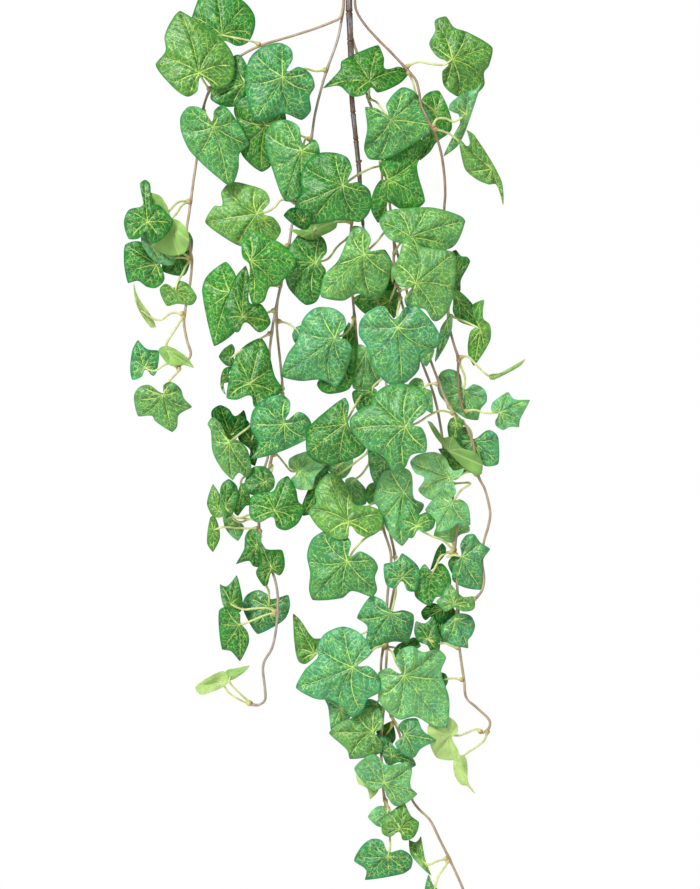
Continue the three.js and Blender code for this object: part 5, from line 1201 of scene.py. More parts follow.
@dataclass
class Stems:
    """Strands of one spray with the stalks of their leaves, moulded in one; sizes in millimetres."""

    name: str
    strands: tuple[str, ...]
    plant: Plant
    stalk: str = "#bdc67c"
    knob: str = "#ab9854"
    scar: str = "#9a5f4c"
    stalk_radius: float = 1.15
    stalk_bow: float = 4  # upwards, of a stalk whose route is not listed
    knob_radius: float = 2.8
    tip_radius: float = 0.5
    knob_place: Pair = (2.6, 2.2)  # middle along the stalk, and half length
    knob_fade: float = 5.5
    scar_place: Pair = (1.2, 1.3)
    scar_share: float = 0.6
    main_taper: tuple[Pair, ...] = ((10, 3.3), (60, 2.9), (110, 2.5), (170, 2.3), (225, 1.7))  # down
    stump: tuple[tuple[float, ...], ...] = ((358.4, 164, 0.5), (360.2, 161.8, 1), (361.6, 160.2, 1.2))  # cut stalk
    stump_radii: tuple[float, ...] = (1.6, 1.3, 0.9)
    slimness: float = 0.88  # of the thin strands, and how much they swell where stalks start, and half length
    joint_swell: Pair = (0.3, 4)
    unevenness: float = 0.04
    ring_swell: Pair = (0.55, 2.6)  # how much, and half length, as in the three below
    ring_notch: Pair = (1.15, 0.8)
    ring_shade: Pair = (0.6, 1.1)
    ring_bare: Pair = (0.8, 2.2)
    main_paint_and_sheen: float = 0.9  # share of pale paint and painted highlight, as in the three below
    strand_paint_and_sheen: float = 0.6
    stump_paint_and_sheen: float = 0.4
    stalk_paint_and_sheen: float = 0.25

    def build(self, material: bpy.types.Material, *nodes: str) -> bpy.types.Object:
        """Makes the strands and stalks as one piece.

        Args:
            material: Their plastic.
            *nodes: Solids that they stand for.

        Returns:
            The object.
        """
        surface = Surface()
        for strand in self.strands:
            self.add_strand(surface, strand)
        for leaf in self.plant.leaves:
            if leaf.strand in self.strands:
                self.add_stalk(surface, leaf)
        if "centre" in self.strands:
            bark = np.tile(linear(Bark.MAIN.value), (len(self.stump), 1))
            paint = np.full(len(self.stump), self.stump_paint_and_sheen)
            self.add_tube(surface, np.array(self.stump), np.array(self.stump_radii), 12, bark, paint)
        return surface.build(f"stems_{self.name}", [material], "leaves", *nodes)

    def add_strand(self, surface: Surface, strand: str) -> None:
        """Adds one strand, a little swollen where stalks start; the main stem tapers, and rings divide it.

        A ring is a dark notch between two flared ends: the radius takes a wide swell less a narrow one.

        Args:
            surface: Mesh that takes it.
            strand: Name of the strand.
        """
        bark = linear(BARKS.get(strand, Bark.TAN).value)
        if strand == "centre":
            line = smooth(self.plant.routes[strand], 0.8)
            off = np.abs(line[:, 1:2] - np.array(MAIN_RINGS)).min(1)
            radii = np.interp(line[:, 1], *np.array(self.main_taper).T)
            radii = radii + bell(off, *self.ring_swell) - bell(off, *self.ring_notch)
            colour, sides = np.outer(1 - bell(off, *self.ring_shade), bark), 20
            paint = self.main_paint_and_sheen - bell(off, *self.ring_bare)
        else:
            line = smooth(self.plant.routes[strand], 2.5)
            starts = [self.plant.stalk_start(leaf) for leaf in self.plant.leaves if leaf.strand == strand]
            off = np.full(len(line), FAR)
            if starts:
                off = np.linalg.norm(line[:, None] - np.array(starts), axis=-1).min(1)
            radii = STRAND_RADIUS * (self.slimness + bell(off, *self.joint_swell))
            colour, sides = np.tile(bark, (len(line), 1)), 12
            paint = np.full(len(line), self.strand_paint_and_sheen)
        radii = radii * (1 + self.unevenness * ripple(line, 14, len(strand)))
        self.add_tube(surface, line, radii, sides, colour, paint)

    def add_stalk(self, surface: Surface, leaf: Leaf) -> None:
        """Adds a leaf's stalk, which starts with a scarred knob on its strand and ends under the leaf's heart.

        Args:
            surface: Mesh that takes it.
            leaf: The leaf.
        """
        start = self.plant.stalk_start(leaf)
        route = leaf.stalk[1:] if len(leaf.stalk) > 1 else leaf.stalk
        if not len(route):
            route = [(start[:2] + leaf.base) / 2 - (0, self.stalk_bow)]
        stops = np.array([start[:2], *route, leaf.heart])
        reach = travelled(stops)
        end = leaf.out + leaf.corners[0, 2] - 0.3
        depth = start[2] + (end - start[2]) * reach / reach[-1]
        line = smooth(np.column_stack([stops, depth]), 1.4)
        gone = travelled(line)
        left = gone[-1] - gone
        middle, half = self.knob_place
        radii = self.stalk_radius + bell(gone - middle, self.knob_radius - self.stalk_radius, half)
        radii = np.where(left < 4, np.minimum(radii, self.tip_radius + 0.14 * left), radii)
        near = bell(gone, 1, self.knob_fade)[:, None]
        middle, half = self.scar_place
        spot = bell(gone - middle, self.scar_share, half)[:, None]
        stalk, knob, scar = (np.array(linear(c)) for c in (self.stalk, self.knob, self.scar))
        colour = stalk * (1 - near) + knob * near
        colour = colour * (1 - spot) + scar * spot
        self.add_tube(surface, line, radii, 10, colour, np.full(len(line), self.stalk_paint_and_sheen))

    @staticmethod
    def add_tube(
        surface: Surface, line: np.ndarray, radii: np.ndarray, sides: int, colour: np.ndarray, paint: np.ndarray
    ) -> None:
        """Adds a tube with its colours and, for patterns that follow it, a place on it in millimetres.

        The place is the point of a straight tube of the same length: the circle's two readings and the length.

        Args:
            surface: Mesh that takes it.
            line: Front-view points along its middle.
            radii: Radius at each point.
            sides: Corners of the circle.
            colour: Linear colour at each point.
            paint: Share of pale paint and painted highlight at each point, in the colours' fourth channel.
        """
        rows = np.vstack([np.repeat(colour, sides, axis=0), colour[:1], colour[-1:]])
        rows[:, 3] = np.append(np.repeat(paint, sides), [0, 0])
        gone = travelled(line)
        turn = 2 * np.pi * np.arange(sides) / sides
        circle = radii[:, None, None] * np.stack([np.cos(turn), np.sin(turn)], -1)
        course = np.concatenate([circle, np.broadcast_to(gone[:, None, None], (len(line), sides, 1))], -1)
        course = np.vstack([course.reshape(-1, 3), [[0, 0, 0]], [[0, 0, gone[-1]]]]) + line[0, [0, 1, 1]]
        course = np.column_stack([course, np.ones(len(course))])
        surface.add_shell(tube(hang(line), radii * MM, sides), tone=rows, course=course)


@dataclass(frozen=True)
class Pot:
    """Tapered plastic pot with a rim band, three holes for the hanger's arms and a drain hole, in millimetres."""

    rim_radius: float = 65
    top_radius: float = 62
    foot_radius: float = 45
    foot: float = -301
    rim: float = -196
    wall: float = 3
    floor: float = 4
    band: float = 14
    drain: float = 6
    hole_radius: float = 2.3
    hole_below: float = 6
    arm_turns: tuple[int, ...] = (90, 210, 330)
    drilled: tuple[float, ...] = (50, 60, 75)  # from the axis, the places along each drill
    segments: int = 144

    def radius(self, z: float) -> float:
        """Outer radius at a height."""
        return self.foot_radius + (self.top_radius - self.foot_radius) / (self.rim - self.foot) * (z - self.foot)

    def inside(self, z: float) -> float:
        """Inner radius at a height."""
        return self.radius(z) - self.wall

    def build(self, material: bpy.types.Material) -> bpy.types.Object:
        """Makes the pot.

        Args:
            material: Its plastic.

        Returns:
            The object.
        """
        under, over = self.rim - self.band, self.foot + self.floor
        section = [
            (self.drain, self.foot), (self.foot_radius - 4, self.foot), (self.foot_radius - 3.4, self.foot + 0.8),
            (self.foot_radius - 1.6, self.foot + 0.8), (self.foot_radius, self.foot + 2.4),
            (self.radius(under) - 0.1, under - 0.6), (self.radius(under), under), (self.rim_radius - 0.8, under + 0.5),
            (self.rim_radius, under + 1.5), (self.rim_radius, self.rim - 2),
            (self.rim_radius - 0.5, self.rim - 0.7),
            (self.rim_radius - 1.6, self.rim), (self.inside(self.rim) + 1.2, self.rim),
            (self.inside(self.rim), self.rim - 1.2), (self.inside(over + 2), over + 2),
            (self.inside(over) - 2, over), (self.drain, over),
        ]
        section = refine(np.array(section, float), 4.0)
        surface = Surface()
        surface.add_shell(turned(section * MM, self.segments))
        pot = surface.build("pot", [material], "pot", "pot")
        drills = Surface()
        for turn in self.arm_turns:
            a = math.radians(turn)
            line = np.array([[r * math.cos(a), r * math.sin(a), self.rim - self.hole_below] for r in self.drilled])
            drills.add_shell(tube(line * MM, np.full(len(line), self.hole_radius * MM), 24))
        bore(pot, drills)
        return pot


def refine(section: np.ndarray, step: float) -> np.ndarray:
    """Splits the sides of a closed section that are longer than a step into equal runs.

    Args:
        section: Corners.
        step: Longest run.

    Returns:
        The corners and the points between them.
    """
    after = np.roll(section, -1, axis=0)
    runs = []
    for a, b in zip(section, after):
        count = max(1, math.ceil(np.linalg.norm(b - a) / step))
        runs.append(a + (np.arange(count) / count)[:, None] * (b - a))
    return np.vstack(runs)


def bore(piece: bpy.types.Object, cutters: Surface) -> None:
    """Cuts bodies out of a piece.

    Args:
        piece: The piece.
        cutters: Closed bodies to cut with.
    """
    mesh = bpy.data.meshes.new("cutters")
    faces = [tuple(int(c) for c in f if c >= 0) for f in np.vstack(cutters.faces)]
    mesh.from_pydata(np.vstack(cutters.verts).tolist(), [], faces)
    drill = bpy.data.objects.new("cutters", mesh)
    bpy.context.scene.collection.objects.link(drill)
    cut = piece.modifiers.new("bore", "BOOLEAN")
    cut.operation, cut.object, cut.solver = "DIFFERENCE", drill, "EXACT"
    bpy.context.view_layer.update()
    made = bpy.data.meshes.new_from_object(piece.evaluated_get(bpy.context.evaluated_depsgraph_get()))
    piece.modifiers.clear()
    clean = bmesh.new()
    clean.from_mesh(made)
    bmesh.ops.remove_doubles(clean, verts=clean.verts, dist=0.01 * MM)
    bmesh.ops.dissolve_degenerate(clean, edges=clean.edges, dist=0.01 * MM)
    clean.to_mesh(made)
    clean.free()
    old, piece.data = piece.data, made
    made.name = old.name
    bpy.data.meshes.remove(old)
    bpy.data.objects.remove(drill)
    bpy.data.meshes.remove(mesh)


@dataclass(frozen=True)
class Soil:
    """Potting soil: a low uneven mound, crumbly at its surface, in millimetres.

    Its lumps come in three sets, each with its height, size, seed and number of waves.
    """

    pot: Pot
    below_rim: float = 12
    gap: float = 0.35
    mound: float = 3.2
    lumps: tuple[tuple[float, ...], ...] = ((1.0, 22, 3, 6), (0.8, 7, 4, 12), (0.6, 3.4, 5, 20))
    smooth_edge: float = 4  # wide, where the lumps fade out
    sunk: float = 0.6
    highest_lump: float = 2.0
    rings: int = 60
    segments: int = 240

    def build(self, material: bpy.types.Material) -> bpy.types.Object:
        """Makes the soil.

        Args:
            material: Its crumbs.

        Returns:
            The object.
        """
        top, floor = self.pot.rim - self.below_rim, self.pot.foot + self.pot.floor + self.gap
        edge, foot = self.pot.inside(top) - self.gap, self.pot.inside(floor) - self.gap
        share = np.linspace(1, 0, self.rings + 1)[:-1]
        r = np.concatenate([[foot * 0.5, foot], share * edge])
        turn = 2 * np.pi * np.arange(self.segments) / self.segments
        x, y = r[:, None] * np.cos(turn), r[:, None] * np.sin(turn)
        flat = np.stack([x, y], -1)
        mound = self.mound * (1 - (r / edge) ** 2)
        lumps = sum(height * ripple(flat, size, seed, waves) for height, size, seed, waves in self.lumps)
        lumps = np.minimum(lumps * np.clip((edge - r) / self.smooth_edge, 0, 1)[:, None], self.highest_lump)
        z = top - self.sunk + mound[:, None] + lumps
        z[:2] = floor
        ends = np.array([[0, 0, floor], [0, 0, z[-1].mean()]])
        surface = Surface()
        surface.add_shell(closed(np.stack([x, y, z], -1) * MM, ends * MM))
        return surface.build("soil", [material], "soil", "soil")


@dataclass(frozen=True)
class Hanger:
    """Wire hanger: a hook on a small hub and three arms that hold the pot's rim, in millimetres."""

    pot: Pot
    hook_radius: float = 12.2
    hook_turn: Pair = (200, -90)  # degrees, from the tip to the shank
    hook_tip: tuple[float, ...] = (0.6, 0.9, 1.0)  # share of the rod's radius at the first points
    rod: float = 2.2
    rod_sides: int = 24
    hub_radius: float = 9
    hub_top: float = -34.2
    hub_height: float = 10
    hub_sides: int = 64
    socket: float = 5.2
    arm: float = 1.5
    arm_sides: int = 16
    arm_bend: float = 2.0  # how far before a corner of its route the arm starts to turn
    clear: Pair = (2, 2.5)  # of the pot's rim, outside it and inside

    def build(self, material: bpy.types.Material) -> list[bpy.types.Object]:
        """Makes the hook with its hub, and the three arms.

        Args:
            material: Their steel.

        Returns:
            The objects.
        """
        turn = np.radians(np.linspace(*self.hook_turn, 60))
        inner = self.hook_radius - self.rod  # the top of the inner curve is the origin
        arc = np.stack([self.hook_radius * np.cos(turn), 0 * turn, self.hook_radius * np.sin(turn) - inner], -1)
        shank = np.array([[0, 0, z] for z in (-24, -27, -30, self.hub_top - 2)], float)
        line = np.vstack([arc, shank])
        radii = np.full(len(line), self.rod)
        radii[:3] = self.rod * np.array(self.hook_tip)
        surface = Surface()
        surface.add_shell(tube(line * MM, radii * MM, self.rod_sides))
        foot = self.hub_top - self.hub_height
        r = self.hub_radius
        section = [(0, foot), (r - 1, foot), (r - 0.3, foot + 0.3), (r, foot + 1), (r, self.hub_top - 3),
                   (r - 0.4, self.hub_top - 2), (r - 3, self.hub_top), (0, self.hub_top)]
        surface.add_shell(turned(np.array(section, float) * MM, self.hub_sides))
        made = [surface.build("hanger_hook", [material], "wire", "hanger_hook")]
        hole = self.pot.rim - self.pot.hole_below
        clear_outside, clear_inside = self.clear
        outside = self.pot.rim_radius + self.arm + clear_outside
        inside = self.pot.inside(hole) - self.arm - clear_inside
        route = np.array([
            (self.socket, foot + 5.65), (self.socket, foot - 4), (self.socket + 3, foot - 12),
            (outside - 3, hole + 16), (outside, hole + 8), (outside - 0.6, hole + 2.6), (outside - 2.6, hole),
            (inside + 1.5, hole), (inside, hole + 1.2), (inside, hole + 5),
        ], float)
        for number, degrees in enumerate(self.pot.arm_turns, 1):
            a = math.radians(degrees)
            points = np.column_stack([route[:, 0] * math.cos(a), route[:, 0] * math.sin(a), route[:, 1]])
            line = rounded(points, self.arm_bend)
            arm = Surface()
            arm.add_shell(tube(line * MM, np.full(len(line), self.arm * MM), self.arm_sides))
            made.append(arm.build(f"hanger_arm_{number}", [material], "wire", f"hanger_arm_{number}"))
        return made


def rounded(points: np.ndarray, reach: float, steps: int = 5) -> np.ndarray:
    """Rounds the corners of a path, each with a parabola that starts and ends a short way from the corner.

    Args:
        points: Corners.
        reach: Distance from the corner, at most 0.45 of the side.
        steps: Points for each corner.

    Returns:
        The path.
    """
    runs = [points[:1]]
    t = np.linspace(0, 1, steps)[:, None]
    for a, b, c in zip(points, points[1:], points[2:]):
        before, after = np.linalg.norm(a - b), np.linalg.norm(c - b)
        p = b + (a - b) * min(reach, 0.45 * before) / before
        q = b + (c - b) * min(reach, 0.45 * after) / after
        runs.append((1 - t) ** 2 * p + 2 * t * (1 - t) * b + t**2 * q)
    runs.append(points[-1:])
    return np.vstack(runs)


@dataclass(frozen=True)
class PrintedFabric:
    """Upper face of the leaves: polyester fabric, printed with veins and heat-pressed; sizes in millimetres.

    The print gives crisp pale veins on a deep green, the pressing a satin gloss. Distances come from the leaf's
    own attributes: how far a point lies beside the nearest main vein, along it from the heart, and in from the
    edge.
    """

    vein: str = "#b0c25c"
    vein_ground: tuple[float, ...] = (0.8, 0.8, 0.7)  # share of the dye under the veins' colour
    main_width: Pair = (0.44, 0.27)  # half width at the heart and at the main reach
    main_reach: float = 35.0
    main_edge: Pair = (0.45, 1.15)  # in half widths: full ink, and none
    main_end: Pair = (2.0, 8.0)  # in from the edge: the main veins are gone, and are whole
    main_shake: float = 1.6
    side_spacing: float = 7.0
    side_lean: float = 0.95  # along the main vein for each millimetre beside it
    side_shift: float = 1.7  # half of what the two sides are out of step
    side_swing: float = 9.0
    side_edge: Pair = (0.03, 0.105)  # share of half the spacing: full ink, and none
    side_fade: Pair = (3.0, 16.0)  # beside the main vein, with the ink there
    side_ink: Pair = (0.85, 0.45)
    net_edge: Pair = (0.02, 0.066)  # share of a cell: full ink, and none
    net_ink: float = 0.85
    net_breaks: Pair = (0.42, 0.52)  # of the noise: broken, and whole
    broken_ink: float = 0.12
    net_patches: Pair = (0.36, 0.52)  # of the noise: thin, and dense
    thin_ink: float = 0.3
    ink: float = 0.9
    cell: float = 4.0
    crinkle: float = 3.0
    bend: float = 1.9
    wander: float = 9.0
    patch: float = 11.0
    margin: Pair = (3.9, 6.6)  # in from the edge: the net is gone, and is whole
    ragged: float = 6.0
    patch_shades: Pair = (0.78, 1.22)
    crease: Pair = (0.8, 3.4)  # beside a main vein, with the painted shades there
    crease_painted_shades: Pair = (0.72, 1.04)
    edge: float = 7.0
    edge_shade: float = 1.22
    cast: Pair = (0.36, 0.64)  # of the noise: the yellower dye, and the bluer
    yellower: tuple[float, ...] = (1.2, 1.02, 0.76, 1)
    bluer: tuple[float, ...] = (0.86, 0.99, 1.18, 1)
    haze: Pair = (1.0, 10.0)  # from the heart: the most of it, and none
    haze_share: float = 0.16
    quilt: float = 0.8  # of the way between two side veins, where the quilting is full
    groove: float = 0.7  # depth of a main vein, where the quilting is 1 high
    valley: Pair = (6.0, 4.0)  # half width, and depth on the same scale
    pucker: float = 5.0
    relief: float = 0.4  # the height of 1
    relief_strength: float = 0.5
    gloss: Pair = (0.08, 0.5)  # of the darkest tone, which is mostly painted shade, and of the others
    gloss_tone: Pair = (0.06, 0.1)  # how light those two are
    sheen: float = 0.06
    sheen_roughness: float = 0.4
    sheen_tint: str = "#e2f0ff"
    roughness: float = 0.46
    passed_light: float = 0.12

    def make(self) -> bpy.types.Material:
        """Builds the material.

        Returns:
            The material.
        """
        material, node = new_material("polyester fabric, printed and pressed")
        # The tone: each leaf's ground colour, which holds painted light and shade, and in its alpha how far its veins
        # are dimmed as painted shade.
        ink = node("Attribute", attribute_name="tone")
        tone = ink.outputs["Color"]
        veins = node("Attribute", attribute_name="veins")
        place_in = node("Attribute", attribute_name="cloth")
        cloth, size = place_in.outputs["Vector"], place_in.outputs["Alpha"]
        beside, along, margin = node("SeparateColor", [veins.outputs["Color"]]).outputs
        drift = node("TexNoise", {"Vector": cloth, "Scale": 1 / self.wander, "Detail": 2.0})
        main = self.main_veins(node, beside, along, margin, drift, size)
        ridge = self.side_ridge(node, beside, along, veins.outputs["Alpha"], drift)
        # The net thins out in patches, and a plain margin runs round the edge.
        patch = node("TexNoise", {"Vector": cloth, "Scale": 1 / self.patch, "Detail": 4.0, "Roughness": 0.6})
        fine = self.fine_veins(node, beside, margin, ridge, cloth, drift, patch)
        # Ground: darker and lighter patches, painted shade in the creases beside the main veins, lighter towards the
        # margin.
        value = node("MapRange", [patch, *NOISE, *self.patch_shades])
        crease = node("MapRange", [beside, *self.crease, *self.crease_painted_shades])
        edge = node("MapRange", [margin, 0.0, self.edge, self.edge_shade, 1.0])
        for shade in (crease, edge):
            value = node("Math.MULTIPLY", [value, shade])
        ground = node("VectorMath.SCALE", {0: tone, "Scale": value})
        # The dye runs from a yellower to a bluer green within a leaf.
        cast = node("MapRange", [drift, *self.cast, 0.0, 1.0])
        cast = node("Mix", {0: cast, 6: self.yellower, 7: self.bluer}, data_type="RGBA")
        ground = node("VectorMath.MULTIPLY", [ground, cast.outputs[2]])
        # A paler haze about the heart, where the veins meet, fainter on small leaves.
        haze = node("MapRange", [along, *self.haze, self.haze_share, 0.0])
        haze = node("Math.MULTIPLY", [haze, size])
        print_mask = fine
        for other in (haze, main):
            print_mask = node("Math.MAXIMUM", [print_mask, other])
        # Vein colour, dimmed on the deep tones as painted shade.
        yellow = node("VectorMath.SCALE", {0: linear(self.vein)[:3], "Scale": ink.outputs["Alpha"]})
        pale = node("VectorMath.MULTIPLY_ADD", [tone, self.vein_ground, yellow])
        colour = node("Mix", {0: print_mask, 6: ground, 7: pale}, data_type="RGBA")
        # Pressed relief: the main veins lie in grooves along wide valleys, and between the side veins the blade
        # quilts up and puckers.
        quilt = node("MapRange", [ridge, 0.0, self.quilt, 0.0, 1.0], interpolation_type="SMOOTHSTEP")
        wide, deep = self.valley
        valley = node("MapRange", {0: beside, 2: wide, 4: deep}, interpolation_type="SMOOTHERSTEP")
        height = node("Math.MULTIPLY_ADD", [main, -self.groove, quilt])
        height = node("Math.ADD", [valley, height])
        height = node("Math.MULTIPLY_ADD", [drift, self.pucker, height])
        bump = node("Bump", {"Height": height, "Distance": self.relief * MM, "Strength": self.relief_strength})
        gloss = node("MapRange", [tone, *self.gloss_tone, *self.gloss])
        shader = node(
            "BsdfPrincipled",
            {"Base Color": colour.outputs[2], "Roughness": self.roughness, "Normal": bump,
             "Specular IOR Level": gloss, "Sheen Weight": self.sheen, "Sheen Roughness": self.sheen_roughness,
             "Sheen Tint": linear(self.sheen_tint)},
        )
        thin = node("BsdfTranslucent", {"Color": colour.outputs[2]})
        mix = node("MixShader", [self.passed_light, shader, thin])
        node("OutputMaterial", [mix])
        return material

    def main_veins(self, node: Adder, *sources: Source) -> Source:
        """Draws the main veins, lines that thin out from the heart and end before the edge.

        Args:
            node: Adds a node to the material.
            *sources: Distance beside a main vein, along it and in from the edge, wander, and the leaf's size, with
                which the veins grow.

        Returns:
            One on the veins, zero off them.
        """
        beside, along, margin, drift, size = sources
        tip = node("MapRange", [margin, *self.main_end, 0.0, 1.0])
        full = node("MapRange", [along, 0.0, self.main_reach, *self.main_width])
        width = node("Math.MULTIPLY", [full, size])
        shake = node("Math.MULTIPLY_ADD", [drift, self.main_shake, -self.main_shake / 2])
        near = node("Math.ADD", [beside, shake])
        line = node("Math.DIVIDE", [near, width])
        line = node("Math.ABSOLUTE", [line])
        mask = node("MapRange", [line, *self.main_edge, 1.0, 0.0])
        return node("Math.MULTIPLY", [mask, tip])

    def side_ridge(self, node: Adder, *sources: Source) -> Source:
        """Finds the distance from the side veins, which leave the main veins forwards, the two sides out of step.

        Args:
            node: Adds a node to the material.
            *sources: Distance beside a main vein, distance along it, side and wander.

        Returns:
            Zero on a side vein, one halfway to the next.
        """
        beside, along, side, drift = sources
        swing = node("Math.MULTIPLY", [drift, self.side_swing])
        lean = node("Math.MULTIPLY_ADD", [beside, -self.side_lean, along])
        step = node("Math.MULTIPLY_ADD", [side, self.side_shift, swing])
        phase = node("Math.ADD", [lean, step])
        half = self.side_spacing / 2
        saw = node("Math.PINGPONG", [phase, half])
        return node("Math.MULTIPLY", [saw, 1 / half])

    def fine_veins(self, node: Adder, *sources: Source) -> Source:
        """Draws the side veins and the net between them, the edges of uneven cells.

        A real net is 0.1 to 0.2 mm fine; its lines are drawn about 0.5 mm wide so that they show.

        Args:
            node: Adds a node to the material.
            *sources: Distance beside a main vein, distance from the edge, side ridge, cloth place, wander and
                patches.

        Returns:
            Up to one on the veins, zero off them.
        """
        beside, margin, ridge, cloth, drift, patch = sources
        side = node("MapRange", [ridge, *self.side_edge, 1.0, 0.0])
        fade = node("MapRange", [beside, *self.side_fade, *self.side_ink])
        side = node("Math.MULTIPLY", [side, fade])
        bend = node("TexNoise", {"Vector": cloth, "Scale": 1 / self.crinkle, "Detail": 1.0})
        sway = (self.bend, self.bend, 0)
        bent = node("VectorMath.MULTIPLY_ADD", [bend.outputs[1], sway, cloth])
        cells = node("TexVoronoi", {"Vector": bent, "Scale": 1 / self.cell}, feature="DISTANCE_TO_EDGE")
        net = node("MapRange", [cells, *self.net_edge, self.net_ink, 0.0])
        # Its lines break off here and there, so that it branches rather than closes.
        broken = node("MapRange", [bend, *self.net_breaks, self.broken_ink, 1.0])
        dense = node("MapRange", [patch, *self.net_patches, self.thin_ink, 1.0])
        for share in (broken, dense):
            net = node("Math.MULTIPLY", [net, share])
        both = node("Math.MAXIMUM", [side, net])
        ragged = node("Math.MULTIPLY_ADD", [drift, self.ragged, margin])
        rim = node("MapRange", [ragged, *self.margin, 0.0, self.ink])
        return node("Math.MULTIPLY", [both, rim])


@dataclass(frozen=True)
class PlainFabric:
    """Underside of the leaves: the same polyester fabric without the print; sizes in millimetres.

    It is paler and more matt than the upper face, and its main veins show as faint ridges.
    """

    dye: str = "#8bb257"
    dye_share: float = 0.6
    ridge: str = "#b2ca7e"
    ridge_edge: Pair = (0.3, 1.1)  # beside a main vein: its full colour, and none
    ridge_share: float = 0.6
    patch: float = 14.0
    patch_shades: Pair = (0.82, 1.18)
    weave: float = 0.8  # the real one is 0.3, drawn coarser so that it shows
    weave_height: float = 0.3
    relief: float = 0.4
    relief_strength: float = 0.7
    roughness: float = 0.55
    passed_light: float = 0.15

    def make(self) -> bpy.types.Material:
        """Builds the material.

        Returns:
            The material.
        """
        material, node = new_material("polyester fabric, plain dyed")
        tone = node("Attribute", attribute_name="tone").outputs["Color"]
        veins = node("Attribute", attribute_name="veins")
        cloth = node("Attribute", attribute_name="cloth").outputs["Vector"]
        beside = node("SeparateColor", [veins.outputs["Color"]])
        main = node("MapRange", [beside, *self.ridge_edge, self.ridge_share, 0.0])
        patch = node("TexNoise", {"Vector": cloth, "Scale": 1 / self.patch, "Detail": 3.0})
        weave = node("TexNoise", {"Vector": cloth, "Scale": 1 / self.weave, "Detail": 1.0})
        pale = node("Mix", {0: self.dye_share, 6: tone, 7: linear(self.dye)}, data_type="RGBA")
        shade = node("MapRange", [patch, *NOISE, *self.patch_shades])
        ground = node("VectorMath.SCALE", {0: pale.outputs[2], "Scale": shade})
        colour = node("Mix", {0: main, 6: ground, 7: linear(self.ridge)}, data_type="RGBA")
        height = node("Math.MULTIPLY_ADD", [weave, self.weave_height, main])
        bump = node("Bump", {"Height": height, "Distance": self.relief * MM, "Strength": self.relief_strength})
        shader = node("BsdfPrincipled", {"Base Color": colour.outputs[2], "Roughness": self.roughness, "Normal": bump})
        thin = node("BsdfTranslucent", {"Color": colour.outputs[2]})
        mix = node("MixShader", [self.passed_light, shader, thin])
        node("OutputMaterial", [mix])
        return material


@dataclass(frozen=True)
class MouldedStem:
    """Stems and stalks: polyethylene, moulded over wire, with pale paint brushed dry along them; in millimetres.

    The moulding gives a dull wax gloss, the paint thin pale streaks and specks. The pale coat is kept mostly to the
    sides of a stem that face front and back, and is bluer on the main stem: that part of it is a painted highlight
    down the middle of each stem.
    """

    # Pale paint, which also serves as the colour of the painted highlight; the main stem's is bluer.
    paint: str = "#b3aca2"
    main_paint_and_sheen: str = "#868f98"
    main_extra: float = 0.7  # how much more pale paint and painted highlight the main stem has
    facing: Pair = (0.58, 0.86)  # of the normal, the share that points forwards or back: where the painted highlight starts, and where it is full
    side_share: float = 0.1
    main_load: Pair = (0.65, 0.85)  # pale paint and painted highlight on a strand, and on the main stem
    streak: float = 1.2
    streak_length: float = 10  # times its width
    streak_edge: Pair = (0.48, 0.68)  # of the noise: no paint, and the most
    streak_paint: float = 0.55
    streak_height: float = 0.7
    speck: float = 1.3
    speck_edge: Pair = (0.52, 0.64)
    speck_paint: float = 0.3
    patch: float = 8.0
    patch_shades: Pair = (0.75, 1.2)
    relief: float = 0.4
    relief_strength: float = 0.7
    roughness: float = 0.42

    def make(self) -> bpy.types.Material:
        """Builds the material.

        Returns:
            The material.
        """
        material, node = new_material("polyethylene, moulded and dry-brushed")
        tone = node("Attribute", attribute_name="tone")
        course = node("Attribute", attribute_name="course").outputs["Vector"]
        drawn = node("Mapping", {"Vector": course, "Scale": (1.0, 1.0, 1 / self.streak_length)})
        streak = node("TexNoise", {"Vector": drawn, "Scale": 1 / self.streak, "Detail": 2.0})
        pale = node("MapRange", [streak, *self.streak_edge, 0.0, self.streak_paint])
        speck = node("TexNoise", {"Vector": course, "Scale": 1 / self.speck, "Detail": 2.0})
        dots = node("MapRange", [speck, *self.speck_edge, 0.0, self.speck_paint])
        # The main stem carries the most pale paint and painted highlight, in a thicker and bluer coat.
        coat = node("MapRange", [tone.outputs["Alpha"], *self.main_load, 0.0, 1.0])
        tint = node("Mix", {0: coat, 6: linear(self.paint), 7: linear(self.main_paint_and_sheen)}, data_type="RGBA")
        full = node("Math.MULTIPLY_ADD", [coat, self.main_extra, 1.0])
        # Painted highlight: the pale coat is strongest on the sides that face the plant's front and back, and faint on
        # the sides of a stem.
        normal = node("SeparateXYZ", [node("TexCoord").outputs["Normal"]])
        turned_to = node("Math.ABSOLUTE", [normal.outputs["Y"]])
        front = node("MapRange", [turned_to, *self.facing, self.side_share, 1.0])
        paint = node("Math.MAXIMUM", [pale, dots])
        for share in (tone.outputs["Alpha"], full, front):
            paint = node("Math.MULTIPLY", [paint, share])
        patch = node("TexNoise", {"Vector": course, "Scale": 1 / self.patch, "Detail": 2.0})
        shade = node("MapRange", [patch, *NOISE, *self.patch_shades])
        ground = node("VectorMath.SCALE", {0: tone.outputs["Color"], "Scale": shade})
        colour = node("Mix", {0: paint, 6: ground, 7: tint.outputs[2]}, data_type="RGBA")
        height = node("Math.MULTIPLY_ADD", [streak, self.streak_height, speck])
        bump = node("Bump", {"Height": height, "Distance": self.relief * MM, "Strength": self.relief_strength})
        shader = node("BsdfPrincipled", {"Base Color": colour.outputs[2], "Roughness": self.roughness, "Normal": bump})
        node("OutputMaterial", [shader])
        return material


